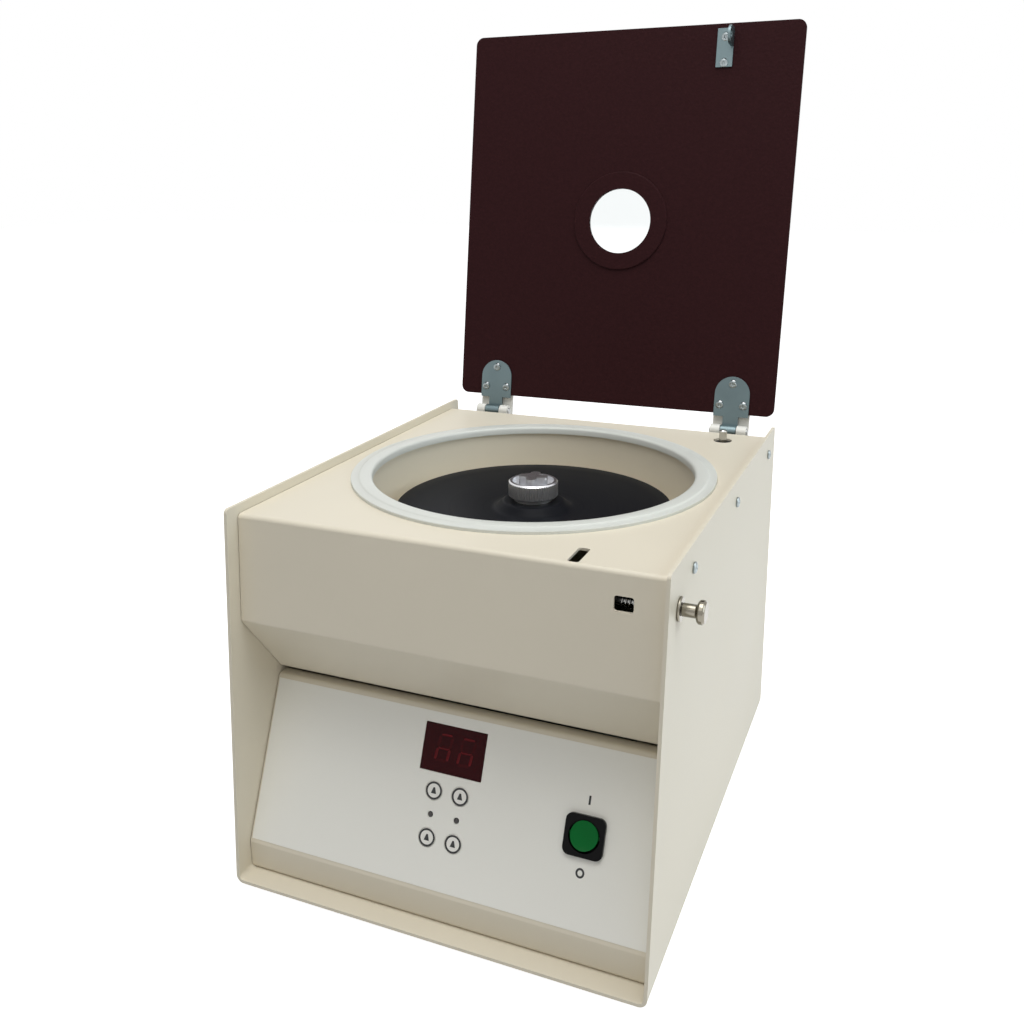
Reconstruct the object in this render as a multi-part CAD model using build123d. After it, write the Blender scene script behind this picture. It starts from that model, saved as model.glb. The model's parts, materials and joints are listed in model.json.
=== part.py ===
from build123d import *
from copy import copy
from math import atan2, cos, degrees, hypot, radians, sin, tan
import os

# Hematocrit centrifuge with its lid standing open.
# Working frame: X to the right, Y to the back from the top front corner of the case sides,
# Z up from the underside of the case. The last section moves everything to the part's own frame.

# Case: one folded sheet, two sides and the bottom
case_width = 260.0
case_height = 236.0
side_length = 302.0
front_reach = 19.0
rear_reach = 16.5
case_sheet = 2.0
case_bend = 5.0
side_corner = 3.0

# Cover: deck and hood in one sheet
cover_sheet = 1.5
cover_gap = 0.4
cover_bend = 2.0
deck_drop = 5.5
deck_rear_setback = 10.0
hood_setback = 9.4
hood_face_height = 65.0
undercut_depth = 35.0
undercut_height = 46.0
hood_return = 8.0
side_flange = 33.0
rear_lip = 8.6
rear_lip_gap = 0.2

# Control panel with its skirt
skirt_setback = 11.6
skirt_height = 18.4
panel_gap = 4.0
panel_tuck = 2.9
panel_flange = 12.0
film = 0.3
film_margin = 2.5
film_edge = 1.0

# Rear panel
rear_flange = 12.0
vent_count = 12
vent_pitch = 8.0
vent_width = 3.2
vent_height = 40.0
vent_low = 78.0

# Clearances that many pieces share: a screw in its hole, a fixed piece in its cut-out
hole_clearance = 0.25
fit_gap = 0.2

# Broken edges of turned pieces, and how far a cut runs past the face it opens
edge_break = 1.0
fine_break = 0.5
past = 1.0

# Feet and the screws of the case
foot_height = 7.0
foot_radius = 10.0
foot_taper = 1.5
foot_inset_x = 27.0
foot_inset_y = 36.0
foot_recess = 4.0
screw_radius = 1.5
head_radius = 3.2
head_height = 1.9
screw_length = 8.0
head_wall_share = 0.55
head_crown_share = 0.72
flange_screw_share = 0.6
base_screw_inset = 35.0
side_screw_drop = 14.5
side_screw_first = 48.5
side_screw_pitch = 114.0

# Bowl and gasket
bowl_setback = 142.5
bowl_bore = 105.7
bowl_sheet = 1.5
bowl_flange = 117.0
bowl_depth = 42.2
bowl_bend = 2.8
bowl_hole = 24.0
bowl_gap = 0.3
gasket_inner = 103.8
gasket_outer = 112.5
gasket_height = 1.4
gasket_lip = 3.5
gasket_clearance = 0.2

# Lid
lid_lean = 8.6
lid_length = 281.0
lid_sheet = 2.0
lid_side_gap = 0.7
lid_corner = 6.0
lid_rear_setback = 2.0
lid_gasket_gap = 0.3
view_hole = 24.2
view_ring = 36.8
view_ring_height = 1.4
pane_radius = 30.0
pane_thickness = 0.7
lid_skin = 0.2

# Hinges
hinge_inset = 34.0
pin_behind_lid = 12.4
pin_below_lid = 4.4
pin_radius = 2.5
pin_clearance = 0.05
leaf_sheet = 1.2
leaf_width = 26.0
leaf_height = 28.0
leaf_shoulder = 2.0
tongue_width = 11.5
tongue_gap = 0.5
bracket_sheet = 2.0
bracket_bend = 3.0
bracket_width = 27.0
bracket_foot = 34.0
bracket_screw_drop = 20.4
bracket_ear = 7.0
pin_end = 1.0
stop_height = 7.0
stop_gap = 0.3
ear_radius = 4.4
leaf_screw_high = 24.0
leaf_screw_low = 8.0
leaf_screw_side = 8.8
small_head = 2.9
small_head_height = 1.2

# Lid latch
latch_inset = 54.0
latch_setback = 9.6
catch_drop = 7.6
rod_drop = 19.8
catch_radius = 2.0
catch_hole = 2.7
rod_radius = 3.0
rod_clearance = 0.06
striker_sheet = 1.2
striker_ear = 2.0
striker_width = 12.0
striker_offset = 5.0
striker_screw_inset = 4.5
striker_length = 27.0
ear_length = 13.0
ear_depth = 14.5
slot_width = 6.4
slot_length = 20.0
slot_back = 2.8
housing_sheet = 2.0
housing_width = 14.0
housing_length = 36.0
housing_inset = 12.0
slider_gap = 6.0
slider_sheet = 2.0
slider_width = 10.0
catch_reach = 2.5
knob_radius = 6.2
knob_head = 4.0
knob_neck = 3.5
knob_reach = 13.6
knob_gap = 0.1
knob_bevel = 0.8
bush_radius = 6.5
bush_sleeve = 4.5
bush_length = 5.0
bush_flange = 1.6
spring_radius = 4.6
spring_length = 17.5
window_width = 10.4
window_height = 8.2
window_drop = 13.1
window_inset = 25.3

# Lid switch
plunger_inset = 31.5
plunger_setback = 22.0
plunger_radius = 2.75
plunger_height = 8.0
plunger_travel = 7.4
plunger_length = 33.0
switch_box = (22.0, 14.0, 34.0)
plunger_hole = 6.5

# Rotor, cover and nut
rotor_radius = 88.0
rotor_lift = 4.7
rotor_web = 4.0
slot_deck = 6.5
slot_deck_inner = 17.0
rim_wall = 4.0
rim_ring = 3.0
rim_height = 14.0
tube_slots = 24
tube_slot_width = 2.0
tube_slot_depth = 3.2
rotor_collar = 10.0
rotor_collar_height = 8.0
cover_disc = 1.5
cover_skirt = 4.0
cover_skirt_wall = 1.5
cover_skirt_gap = 1.0
cover_dish = 2.0
dish_radius = 80.0
cone_outer = 26.0
cone_inner = 20.0
cone_height = 3.0
spindle_radius = 5.0
spindle_clearance = 0.05
spindle_rise = 25.5
hub_radius = 12.0
hub_height = 13.0
hub_flange = 20.0
hub_flange_height = 4.0
nut_radius = 16.2
nut_height = 10.6
nut_neck = 12.5
nut_neck_height = 2.5
nut_boss_bar = 6.6
nut_boss_turn = 8.0
nut_boss_corner = 3.0
nut_tube = 8.0
nut_recess = 13.6
nut_recess_depth = 4.0
nut_boss = 9.6
nut_boss_height = 6.8
nut_flutes = 60
flute_radius = 0.65
flute_out = 0.25
nut_seat_gap = 0.2
retainer_radius = 11.0
retainer_sheet = 1.0

# Motor and its mounting
motor_radius = 50.0
motor_boss = 15.0
motor_boss_height = 13.0
motor_bell = 22.0
motor_waist = 48.0
motor_bevel = 9.0
motor_bore_depth = 45.0
plate_size = 140.0
plate_sheet = 4.0
post_height = 32.0
damper_radius = 12.0
damper_height = 24.0
post_radius = 8.0
boss_drop = 10.3
damper_inset = 18.0
damper_waist = 9.0
damper_shoulder = 8.4
damper_gap = 0.05
boot_wall = 2.0
boot_lip = 3.0
boot_grip = 10.0
boot_gap = 0.1
stud_radius = 3.0
nut_across = 5.5
stud_nut = 4.0

# Control parts on the slanted panel: x across, drops measured down the slope from its top
display_x = -1.4
display_drop = 22.7
display_width = 39.3
display_height = 27.3
pane_flange = 1.0
digit_width = 9.4
digit_height = 16.5
digit_pitch = 14.5
segment_width = 1.7
segment_sheet = 0.25
segment_gap = 0.5
digit_slant = 7.0
key_x = (-9.85, 6.95)
key_drops = (47.0, 73.7)
key_radius = 5.4
key_gap = 0.2
key_proud = 0.5
key_break = 0.2
key_flange = 6.6
key_flange_sheet = 1.0
key_stem = 2.0
key_stem_length = 3.6
key_switch = 6.0
key_switch_height = 7.5
key_rest_gap = 0.1
key_travel = 0.8
lamp_drop = 60.5
lamp_radius = 1.5
lamp_flange = 0.4
lamp_dome = 0.9
switch_inset = 46.4
switch_drop = 51.0
switch_width = 23.0
switch_height = 22.6
switch_corner = 4.0
switch_rim = 2.2
switch_body = 20.0
switch_depth = 22.0
rocker_radius = 8.0
rocker_well = 9.0
rocker_tilt = 7.0
rocker_pin = 1.2
rocker_pivot = -1.0
rocker_low = -4.0
rocker_top = 3.4
rocker_dish = 40.0
rocker_hollow = 0.9
board_depth = 18.0
board_sheet = 1.6
board_width = 80.0
board_rise = 12.0
board_drop = 6.0
standoff_radius = 3.0
stud_end = 2.0

# Rear fittings: insets from the left side of the case, h up the rear panel
inlet_inset = 50.0
inlet_h = 42.0
inlet_width = 48.0
inlet_height = 26.0
inlet_flange = 3.0
socket_width = 24.6
socket_height = 16.6
socket_depth = 14.0
inlet_wall = 1.5
inlet_body = 22.0
blade_width = 4.0
blade_sheet = 2.0
fuse_inset = 96.0
fuse_h = 42.0
fuse_radius = 8.0
fuse_body = 6.4
fuse_length = 30.0
fuse_cap = 9.0
fuse_rim = 1.0
fuse_rim_height = 2.0
coin_slot = 1.5
transformer_core = (70.0, 30.0, 52.0)
coil_size = (42.0, 56.0, 34.0)
transformer_inset = 52.0
transformer_setback = 62.3


# Sizes that follow from the ones above
inner_half = case_width / 2 - case_sheet
cover_half = inner_half - cover_gap
deck_z = case_height - deck_drop
deck_under = deck_z - cover_sheet
deck_rear = side_length - deck_rear_setback
front_slope = front_reach / case_height
rear_slope = rear_reach / case_height
lid_rear = deck_rear - lid_rear_setback
bowl_y = deck_rear - bowl_setback
bowl_floor = deck_z - bowl_depth
rotor_bottom = bowl_floor + rotor_lift
spindle_top = rotor_bottom + spindle_rise
lid_width = 2 * (inner_half - lid_side_gap)
flange_top = deck_z + bowl_sheet
gasket_top = flange_top + gasket_height
lid_under = gasket_top + lid_gasket_gap
rotor_floor = rotor_bottom + rotor_web
rotor_rim = rotor_bottom + rim_height
slot_top = rotor_floor + slot_deck
cover_top = rotor_rim + cover_disc
cone_top = cover_top + cone_height
boss_top = bowl_floor - boss_drop
motor_top = boss_top - motor_boss_height
post_top = case_sheet + post_height
plate_low = post_top + damper_height
plate_top = plate_low + plate_sheet
hinge_x = case_width / 2 - hinge_inset
latch_x = case_width / 2 - latch_inset
latch_y = hood_setback + latch_setback
window_x = case_width / 2 - window_inset
plunger_x = case_width / 2 - plunger_inset
plunger_y = deck_rear - plunger_setback
inlet_x = inlet_inset - case_width / 2
fuse_x = fuse_inset - case_width / 2


def hood_y(z):
    """Front surface of the hood at height z, parallel to the front edge of the sides."""
    return hood_setback - (deck_z - z) * front_slope


def rear_y(z):
    """Outer surface of the rear panel at height z, parallel to the rear edge of the sides."""
    return deck_rear - cover_sheet - rear_lip_gap + (deck_z - z) * rear_slope


# The corner points of the hood and of the control panel, outside surfaces
bend_z = deck_z - hood_face_height
undercut_y = hood_y(bend_z) + undercut_depth
undercut_z = bend_z - undercut_height
skirt_top = case_sheet + skirt_height
skirt_y = skirt_setback - (case_height - skirt_top) * front_slope
panel_head_y = undercut_y - panel_tuck
panel_head_z = undercut_z - panel_gap
panel_angle = degrees(atan2(panel_head_z - skirt_top, panel_head_y - skirt_y))
panel_length = hypot(panel_head_z - skirt_top, panel_head_y - skirt_y)
rear_angle = degrees(atan2(rear_reach, case_height))
display_s = panel_length - display_drop
key_s = [panel_length - drop for drop in key_drops]
lamp_s = panel_length - lamp_drop
switch_x = case_width / 2 - switch_inset
switch_s = panel_length - switch_drop
board_high = panel_length - board_drop
board_low = board_rise

# Frames of the lid (X across, Y up the plate from its lower edge, Z out of its underside)
# and of the control panel and the rear panel (X across, Y up the sheet, Z outwards)
lean = radians(lid_lean)
pin_y = lid_rear + pin_behind_lid
pin_z = lid_under - pin_below_lid
lid_foot_y = pin_y + pin_behind_lid * sin(lean) + pin_below_lid * cos(lean)
lid_foot_z = pin_z + pin_behind_lid * cos(lean) - pin_below_lid * sin(lean)
lid_frame = Pos(0, lid_foot_y, lid_foot_z) * Rot(90 - lid_lean, 0, 0)
panel_frame = Pos(0, skirt_y, skirt_top) * Rot(panel_angle, 0, 0)
rear_frame = Pos(0, rear_y(0), 0) * Rot(0, 0, 180) * Rot(90 - rear_angle, 0, 0)


# Shapes that many pieces share
def block(x_low, x_high, y_low, y_high, z_low, z_high):
    """A box from its lowest to its highest corner."""
    centre = Pos((x_low + x_high) / 2, (y_low + y_high) / 2, (z_low + z_high) / 2)
    return centre * Box(x_high - x_low, y_high - y_low, z_high - z_low)


def disc(radius, z_low, z_high):
    """An upright cylinder on the Z axis."""
    return Pos(0, 0, (z_low + z_high) / 2) * Cylinder(radius, z_high - z_low)


def ring(inner, outer, z_low, z_high):
    """An upright tube on the Z axis."""
    return disc(outer, z_low, z_high) - disc(inner, z_low, z_high)


def along_x(shape, x, y, z):
    """Turns a piece made on the Z axis to lie along +X, with its origin at the point given."""
    return Pos(x, y, z) * Rot(0, 90, 0) * shape


def turned(*points):
    """A piece turned about the Z axis from a closed outline of (radius, height) points."""
    return revolve(Plane.XZ * make_face(Polyline(*points, close=True)), Axis.Z)


def plate(width, height, corner, z_low, z_high):
    """A flat plate with rounded corners."""
    return extrude(Pos(0, 0, z_low) * RectangleRounded(width, height, corner), amount=z_high - z_low)


def offset_path(points, distance):
    """Moves an open path of straight runs sideways, to the left for a positive distance."""
    runs = [(end[0] - start[0], end[1] - start[1]) for start, end in zip(points, points[1:])]
    moves = [(-v * distance / hypot(u, v), u * distance / hypot(u, v)) for u, v in runs]
    path = [(points[0][0] + moves[0][0], points[0][1] + moves[0][1])]
    for corner, before, after, m, n in zip(points[1:], runs, runs[1:], moves, moves[1:]):
        turn = before[0] * after[1] - before[1] * after[0]
        share = ((n[0] - m[0]) * after[1] - (n[1] - m[1]) * after[0]) / turn
        path.append((corner[0] + m[0] + before[0] * share, corner[1] + m[1] + before[1] * share))
    path.append((points[-1][0] + moves[-1][0], points[-1][1] + moves[-1][1]))
    return path


def sheet(points, thickness, bend, side):
    """Section of a folded sheet. The points are one surface of it, side says where the metal lies."""
    middle = FilletPolyline(*offset_path(points, side * thickness / 2), radius=bend)
    return trace(middle, line_width=thickness)


def screw(head, height, shank, length):
    """A pan-head screw, its head on Z = 0 and its shank below."""
    return turned((0, -length), (shank, -length), (shank, 0), (head, 0), (head, height * head_wall_share),
                  (head * head_crown_share, height), (0, height))


def at(places, shape):
    """The same piece at each place, as separate solids."""
    return [Pos(*place) * shape for place in places]


parts = {}
screw_hole = screw_radius + hole_clearance
case_screw = screw(head_radius, head_height, screw_radius, screw_length)
small_screw = screw(small_head, small_head_height, screw_radius, leaf_sheet + lid_sheet - lid_skin)
through = 4 * case_sheet

# Where the case's screws, feet and posts stand
side_screw_y = [side_screw_first + side_screw_pitch * i for i in range(3)]
side_screw_z = case_height - side_screw_drop
rod_z = deck_z - rod_drop
catch_z = deck_z - catch_drop
foot_x = case_width / 2 - foot_inset_x
feet_y = (foot_inset_y - front_reach, side_length + rear_reach - foot_inset_y)
foot_places = [(x, y, 0) for x in (-foot_x, foot_x) for y in feet_y]
flange_y = (skirt_y + panel_flange * flange_screw_share,
            rear_y(case_sheet) - rear_flange * flange_screw_share)
flange_x = case_width / 2 - base_screw_inset
flange_places = [(x, y, 0) for x in (-flange_x, 0, flange_x) for y in flange_y]
post_reach = plate_size / 2 - damper_inset
post_places = [(x, bowl_y + y, 0) for x in (-post_reach, post_reach) for y in (-post_reach, post_reach)]
transformer_x = transformer_inset - case_width / 2
transformer_y = rear_y(case_sheet) - transformer_setback
coil_foot_x = transformer_core[0] / 2 - 2 * head_radius
coil_foot_y = transformer_core[1] / 2 + head_radius + fit_gap
coil_places = [(transformer_x - coil_foot_x, transformer_y + coil_foot_y, 0),
               (transformer_x + coil_foot_x, transformer_y - coil_foot_y, 0)]
base_places = flange_places + post_places + coil_places

# Case wrap: a U of sheet steel with leaning front and rear edges
side_points = [(0, case_height), (side_length, case_height),
               (side_length + rear_reach, 0), (-front_reach, 0)]
side_face = make_face(Polyline(*side_points, close=True))
side_face = fillet(side_face.vertices().sort_by(Axis.Y)[-2:], side_corner)
side_block = extrude(Plane.YZ * side_face, amount=case_width, both=True)
wrap_points = [(-case_width / 2, case_height + case_bend), (-case_width / 2, 0),
               (case_width / 2, 0), (case_width / 2, case_height + case_bend)]
wrap_section = sheet(wrap_points, case_sheet, case_bend - case_sheet / 2, 1)
wrap = extrude(Plane.XZ * wrap_section, amount=2 * side_length, both=True) & side_block
for place in foot_places:
    wrap -= Pos(*place) * disc(screw_radius, -through, through)
for place in base_places:
    wrap -= Pos(*place) * disc(screw_hole, -through, through)
for y in side_screw_y:
    wrap -= along_x(disc(screw_hole, -case_width, case_width), 0, y, side_screw_z)
parts["case_wrap"] = wrap - along_x(disc(bush_sleeve, 0, case_width), 0, latch_y, rod_z)

# Deck and hood: one folded sheet with a flange down each side
cover_points = [(deck_rear + rear_lip * rear_slope, deck_z - rear_lip), (deck_rear, deck_z),
                (hood_y(deck_z), deck_z), (hood_y(bend_z), bend_z),
                (undercut_y, undercut_z), (undercut_y + hood_return, undercut_z)]
cover_section = Plane.YZ * sheet(cover_points, cover_sheet, cover_bend, 1)
deck_hood = extrude(cover_section, amount=cover_half, both=True)
flange_front = hood_y(deck_z) + cover_bend
flange_rear = deck_rear - cover_bend - cover_sheet
for x in (-cover_half, cover_half - cover_sheet):
    deck_hood += block(x, x + cover_sheet, flange_front, flange_rear,
                       deck_z - side_flange, deck_z - cover_sheet / 2)
for y in side_screw_y:
    deck_hood -= along_x(disc(screw_radius, -case_width, case_width), 0, y, side_screw_z)
deck_hood -= along_x(disc(bush_sleeve + hole_clearance, latch_x, case_width), 0, latch_y, rod_z)
mouth_radius = bowl_bore + bowl_sheet / 2 + bowl_bend + bowl_gap
deck_hood -= Pos(0, bowl_y, deck_z) * disc(mouth_radius, -through, through)
slot = plate(slot_width, slot_length, slot_width / 4, -through, through)
deck_hood -= Pos(latch_x + fit_gap, latch_y + slot_back, deck_z) * slot
deck_hood -= Pos(plunger_x, plunger_y, deck_z) * disc(plunger_hole, -through, through)
window_z = deck_z - window_drop - window_height / 2
deck_hood -= (Pos(window_x, hood_y(window_z), window_z) * Rot(90, 0, 0)
              * plate(window_width, window_height, cover_sheet, -through, through))
parts["deck_hood"] = deck_hood

# Space inside the wrap, with its rounded lower corners, which trims the front and rear panels
inside = make_face(Polyline((-cover_half, case_sheet), (cover_half, case_sheet),
                            (cover_half, case_height), (-cover_half, case_height), close=True))
inside = fillet(inside.vertices().sort_by(Axis.Y)[:2], case_bend - case_sheet)
inside = extrude(Plane.XZ * inside, amount=2 * side_length, both=True)

# Control panel: flange, skirt, slanted face and top flange, with a film over the slanted face
panel_points = [(skirt_y + panel_flange, case_sheet), (skirt_y, case_sheet), (skirt_y, skirt_top),
                (panel_head_y, panel_head_z), (panel_head_y + hood_return, panel_head_z)]
panel_section = Plane.YZ * sheet(panel_points, cover_sheet, cover_bend, -1)
control_panel = extrude(panel_section, amount=cover_half, both=True) & inside
for x, y, z in flange_places:
    control_panel -= Pos(x, y, case_sheet) * disc(screw_radius, 0, 2 * cover_sheet)
key_places = [(x, s, 0) for x in key_x for s in key_s]
lamp_places = [(x, lamp_s, 0) for x in key_x]
display_cut = Box(display_width + 2 * fit_gap, display_height + 2 * fit_gap, through)
switch_cut = Box(switch_body + 2 * fit_gap, switch_body + 2 * fit_gap, through)
face_cuts = [Pos(display_x, display_s, 0) * display_cut, Pos(switch_x, switch_s, 0) * switch_cut]
face_cuts += at(key_places, disc(key_radius + key_gap, -through, through))
face_cuts += at(lamp_places, disc(lamp_radius + hole_clearance, -through, through))
film_sheet = block(-cover_half + film_edge, cover_half - film_edge,
                   film_margin, panel_length - film_margin, 0, film)
for cut in face_cuts:
    control_panel -= panel_frame * cut
    film_sheet -= cut
parts["control_panel"] = control_panel
parts["panel_film"] = panel_frame * film_sheet

# Rear panel: top flange under the deck, vents, bottom flange on the case floor
rear_points = [(rear_y(deck_under) - rear_flange, deck_under), (rear_y(deck_under), deck_under),
               (rear_y(case_sheet), case_sheet), (rear_y(case_sheet) - rear_flange, case_sheet)]
rear_section = Plane.YZ * sheet(rear_points, cover_sheet, cover_bend, -1)
rear_panel = extrude(rear_section, amount=cover_half, both=True) & inside
notch = cover_half - cover_sheet - fit_gap
for side in (-1, 1):
    low, high = sorted((side * notch, side * case_width))
    rear_panel -= block(low, high, bowl_y, rear_y(deck_under) - cover_sheet,
                        deck_under - side_flange / 4, case_height)
for x, y, z in flange_places:
    rear_panel -= Pos(x, y, case_sheet) * disc(screw_radius, 0, 2 * cover_sheet)
bracket_screw_z = deck_z - rear_lip - bracket_screw_drop
bracket_screws = [(side * hinge_x + dx, bracket_screw_z / cos(radians(rear_angle)), 0)
                  for side in (-1, 1) for dx in (-leaf_screw_side, leaf_screw_side)]
inlet_screw_x = socket_width / 2 + (inlet_width - socket_width) / 4
inlet_screws = [(-inlet_x - inlet_screw_x, inlet_h, 0), (-inlet_x + inlet_screw_x, inlet_h, 0)]
rear_cuts = at(bracket_screws + inlet_screws, disc(screw_radius, -through, through))
rear_cuts += [Pos(-inlet_x, inlet_h, 0) * Box(socket_width + 2 * inlet_wall + 2 * fit_gap,
                                              socket_height + 2 * inlet_wall + 2 * fit_gap, through)]
rear_cuts += [Pos(-fuse_x, fuse_h, 0) * disc(fuse_body + fit_gap, -through, through)]
vent_cut = extrude(SlotOverall(vent_height, vent_width, rotation=90), amount=through, both=True)
rear_cuts += at([((i - (vent_count - 1) / 2) * vent_pitch, vent_low + vent_height / 2, 0)
                 for i in range(vent_count)], vent_cut)
for cut in rear_cuts:
    rear_panel -= rear_frame * cut
parts["rear_panel"] = rear_panel

# Feet and the screws of the case
recess_radius = head_radius + hole_clearance
recess_top = foot_recess - foot_height
foot = turned((screw_hole, 0), (foot_radius, 0), (foot_radius - foot_taper, -foot_height),
              (recess_radius, -foot_height), (recess_radius, recess_top), (screw_hole, recess_top))
upward_screw = Rot(180, 0, 0) * case_screw
leftward_screw = Rot(0, -90, 0) * case_screw
parts["feet"] = at(foot_places, foot)
parts["foot_screws"] = at([(x, y, recess_top) for x, y, z in foot_places], upward_screw)
parts["base_screws"] = at(base_places, upward_screw)
parts["side_screws"] = [along_x(case_screw, case_width / 2, y, side_screw_z) for y in side_screw_y]
parts["side_screws"] += at([(-case_width / 2, y, side_screw_z) for y in side_screw_y], leftward_screw)

# Bowl, its gasket and the rubber boot round the motor's boss
wall_middle = bowl_bore + bowl_sheet / 2
floor_middle = bowl_floor - bowl_sheet / 2
rim_middle = deck_z + bowl_sheet / 2
bowl_line = FilletPolyline((bowl_hole, floor_middle), (wall_middle, floor_middle), (wall_middle, rim_middle),
                           (bowl_flange, rim_middle), radius=bowl_bend)
bowl_frame = Pos(0, bowl_y, 0)
parts["bowl"] = bowl_frame * revolve(Plane.XZ * trace(bowl_line, line_width=bowl_sheet), Axis.Z)
lip_outer = bowl_bore - gasket_clearance
parts["bowl_gasket"] = bowl_frame * turned(
    (gasket_inner, flange_top - gasket_lip), (lip_outer, flange_top - gasket_lip),
    (lip_outer, flange_top), (gasket_outer, flange_top), (gasket_outer, gasket_top), (gasket_inner, gasket_top))
floor_under = bowl_floor - bowl_sheet
boot_inner = bowl_hole - boot_wall
boot_waist = bowl_hole - boot_gap
boot_edge = bowl_hole + boot_lip
boot_grip_radius = motor_boss + boot_gap
boot_low = floor_under - boot_gap
boot_high = bowl_floor + boot_gap
parts["shaft_boot"] = bowl_frame * turned(
    (boot_grip_radius, boss_top - boot_grip), (boot_grip_radius, boss_top), (boot_inner, boot_low - boot_wall),
    (boot_inner, boot_high + boot_wall), (boot_edge, boot_high + boot_wall), (boot_edge, boot_high),
    (boot_waist, boot_high), (boot_waist, boot_low), (boot_edge, boot_low), (boot_edge, boot_low - boot_wall),
    (boot_waist, boot_low - boot_wall), (boot_grip_radius + boot_wall, boss_top - boot_wall),
    (boot_grip_radius + boot_wall, boss_top - boot_grip))

# Drive motor on its plate, the plate on rubber dampers on four posts
motor_bore = spindle_radius + spindle_clearance
motor = turned(
    (0, plate_top), (motor_radius, plate_top), (motor_radius, plate_top + motor_bell),
    (motor_waist, plate_top + motor_bell), (motor_waist, motor_top - motor_bell),
    (motor_radius, motor_top - motor_bell), (motor_radius, motor_top - motor_bevel),
    (motor_radius - motor_bevel, motor_top), (motor_boss, motor_top), (motor_boss, boss_top),
    (motor_bore, boss_top), (motor_bore, boss_top - motor_bore_depth), (0, boss_top - motor_bore_depth))
motor_screw_reach = (motor_radius - 2 * head_radius) / 2 ** 0.5
motor_screw_places = [(x, y, plate_low) for x in (-motor_screw_reach, motor_screw_reach)
                      for y in (-motor_screw_reach, motor_screw_reach)]
for x, y, z in motor_screw_places:
    motor -= Pos(x, y, plate_low) * disc(screw_radius, 0, screw_length)
parts["drive_motor"] = bowl_frame * motor
motor_plate = Pos(0, bowl_y, 0) * plate(plate_size, plate_size, damper_inset, plate_low, plate_top)
for x, y, z in motor_screw_places:
    motor_plate -= Pos(x, bowl_y + y, 0) * disc(screw_hole, plate_low - past, plate_top + past)
for place in post_places:
    motor_plate -= Pos(*place) * disc(stud_radius + hole_clearance, plate_low - past, plate_top + past)
parts["motor_plate"] = motor_plate
parts["motor_screws"] = [bowl_frame * piece for piece in at(motor_screw_places, upward_screw)]
damper_bore = stud_radius + damper_gap
damper = turned((damper_bore, post_top), (damper_radius, post_top), (damper_waist, post_top + damper_shoulder),
                (damper_waist, plate_low - damper_shoulder), (damper_radius, plate_low), (damper_bore, plate_low))
parts["motor_dampers"] = at(post_places, damper)
stud_top = plate_top + stud_nut + edge_break
post = disc(post_radius, case_sheet, post_top) + disc(stud_radius, post_top, stud_top)
parts["motor_posts"] = at(post_places, post - disc(screw_radius, 0, screw_length))
nut_blank = extrude(Pos(0, 0, plate_top) * RegularPolygon(nut_across, 6), amount=stud_nut)
parts["post_nuts"] = at(post_places, nut_blank - disc(stud_radius, plate_top - past, stud_top + past))

# Rotor: a turned plate with radial tube slots, the rubber ring at the slots' ends, hub and spindle
rim_inner = rotor_radius - rim_wall
slot_outer = rim_inner - rim_ring
collar_top = rotor_floor + rotor_collar_height
rotor = turned(
    (spindle_radius, rotor_bottom), (rotor_radius, rotor_bottom), (rotor_radius, rotor_rim), (rim_inner, rotor_rim),
    (rim_inner, rotor_floor), (slot_outer, rotor_floor), (slot_outer, slot_top), (slot_deck_inner, slot_top),
    (slot_deck_inner, rotor_floor), (rotor_collar, rotor_floor), (rotor_collar, collar_top),
    (spindle_radius, collar_top))
slot_cut = block(slot_deck_inner - past, slot_outer + rim_ring / 2, -tube_slot_width / 2, tube_slot_width / 2,
                 slot_top - tube_slot_depth, slot_top + past)
for turn in range(tube_slots):
    rotor -= Rot(0, 0, turn * 360 / tube_slots) * slot_cut
parts["rotor_plate"] = bowl_frame * rotor
parts["rim_gasket"] = bowl_frame * ring(slot_outer, rim_inner, rotor_floor, rotor_rim - edge_break)
spindle_low = boss_top - motor_bore_depth
spindle = turned((0, spindle_low), (spindle_radius, spindle_low), (spindle_radius, spindle_top - edge_break),
                 (spindle_radius - edge_break, spindle_top), (0, spindle_top))
parts["spindle"] = bowl_frame * spindle
hub_low = rotor_bottom - hub_height
flange_low = rotor_bottom - hub_flange_height
parts["drive_hub"] = bowl_frame * turned(
    (spindle_radius, hub_low), (hub_radius, hub_low), (hub_radius, flange_low), (hub_flange, flange_low),
    (hub_flange, rotor_bottom), (spindle_radius, rotor_bottom))

# Rotor cover: a slightly dished disc with a conical boss and a skirt outside the rotor's rim
cover_hole = nut_tube + spindle_clearance
cover_outer = rotor_radius + cover_skirt_gap + cover_skirt_wall
skirt_inner = cover_outer - cover_skirt_wall
skirt_low = rotor_rim - cover_skirt
cone_under = rotor_rim + cone_height
parts["rotor_cover"] = bowl_frame * turned(
    (cover_hole, cone_top), (cone_inner, cone_top), (cone_outer, cover_top - cover_dish), (dish_radius, cover_top),
    (cover_outer - edge_break, cover_top), (cover_outer, cover_top - edge_break), (cover_outer, skirt_low),
    (skirt_inner, skirt_low), (skirt_inner, rotor_rim), (dish_radius, rotor_rim),
    (cone_outer, rotor_rim - cover_dish), (cone_inner, cone_under), (cover_hole, cone_under))

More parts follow.
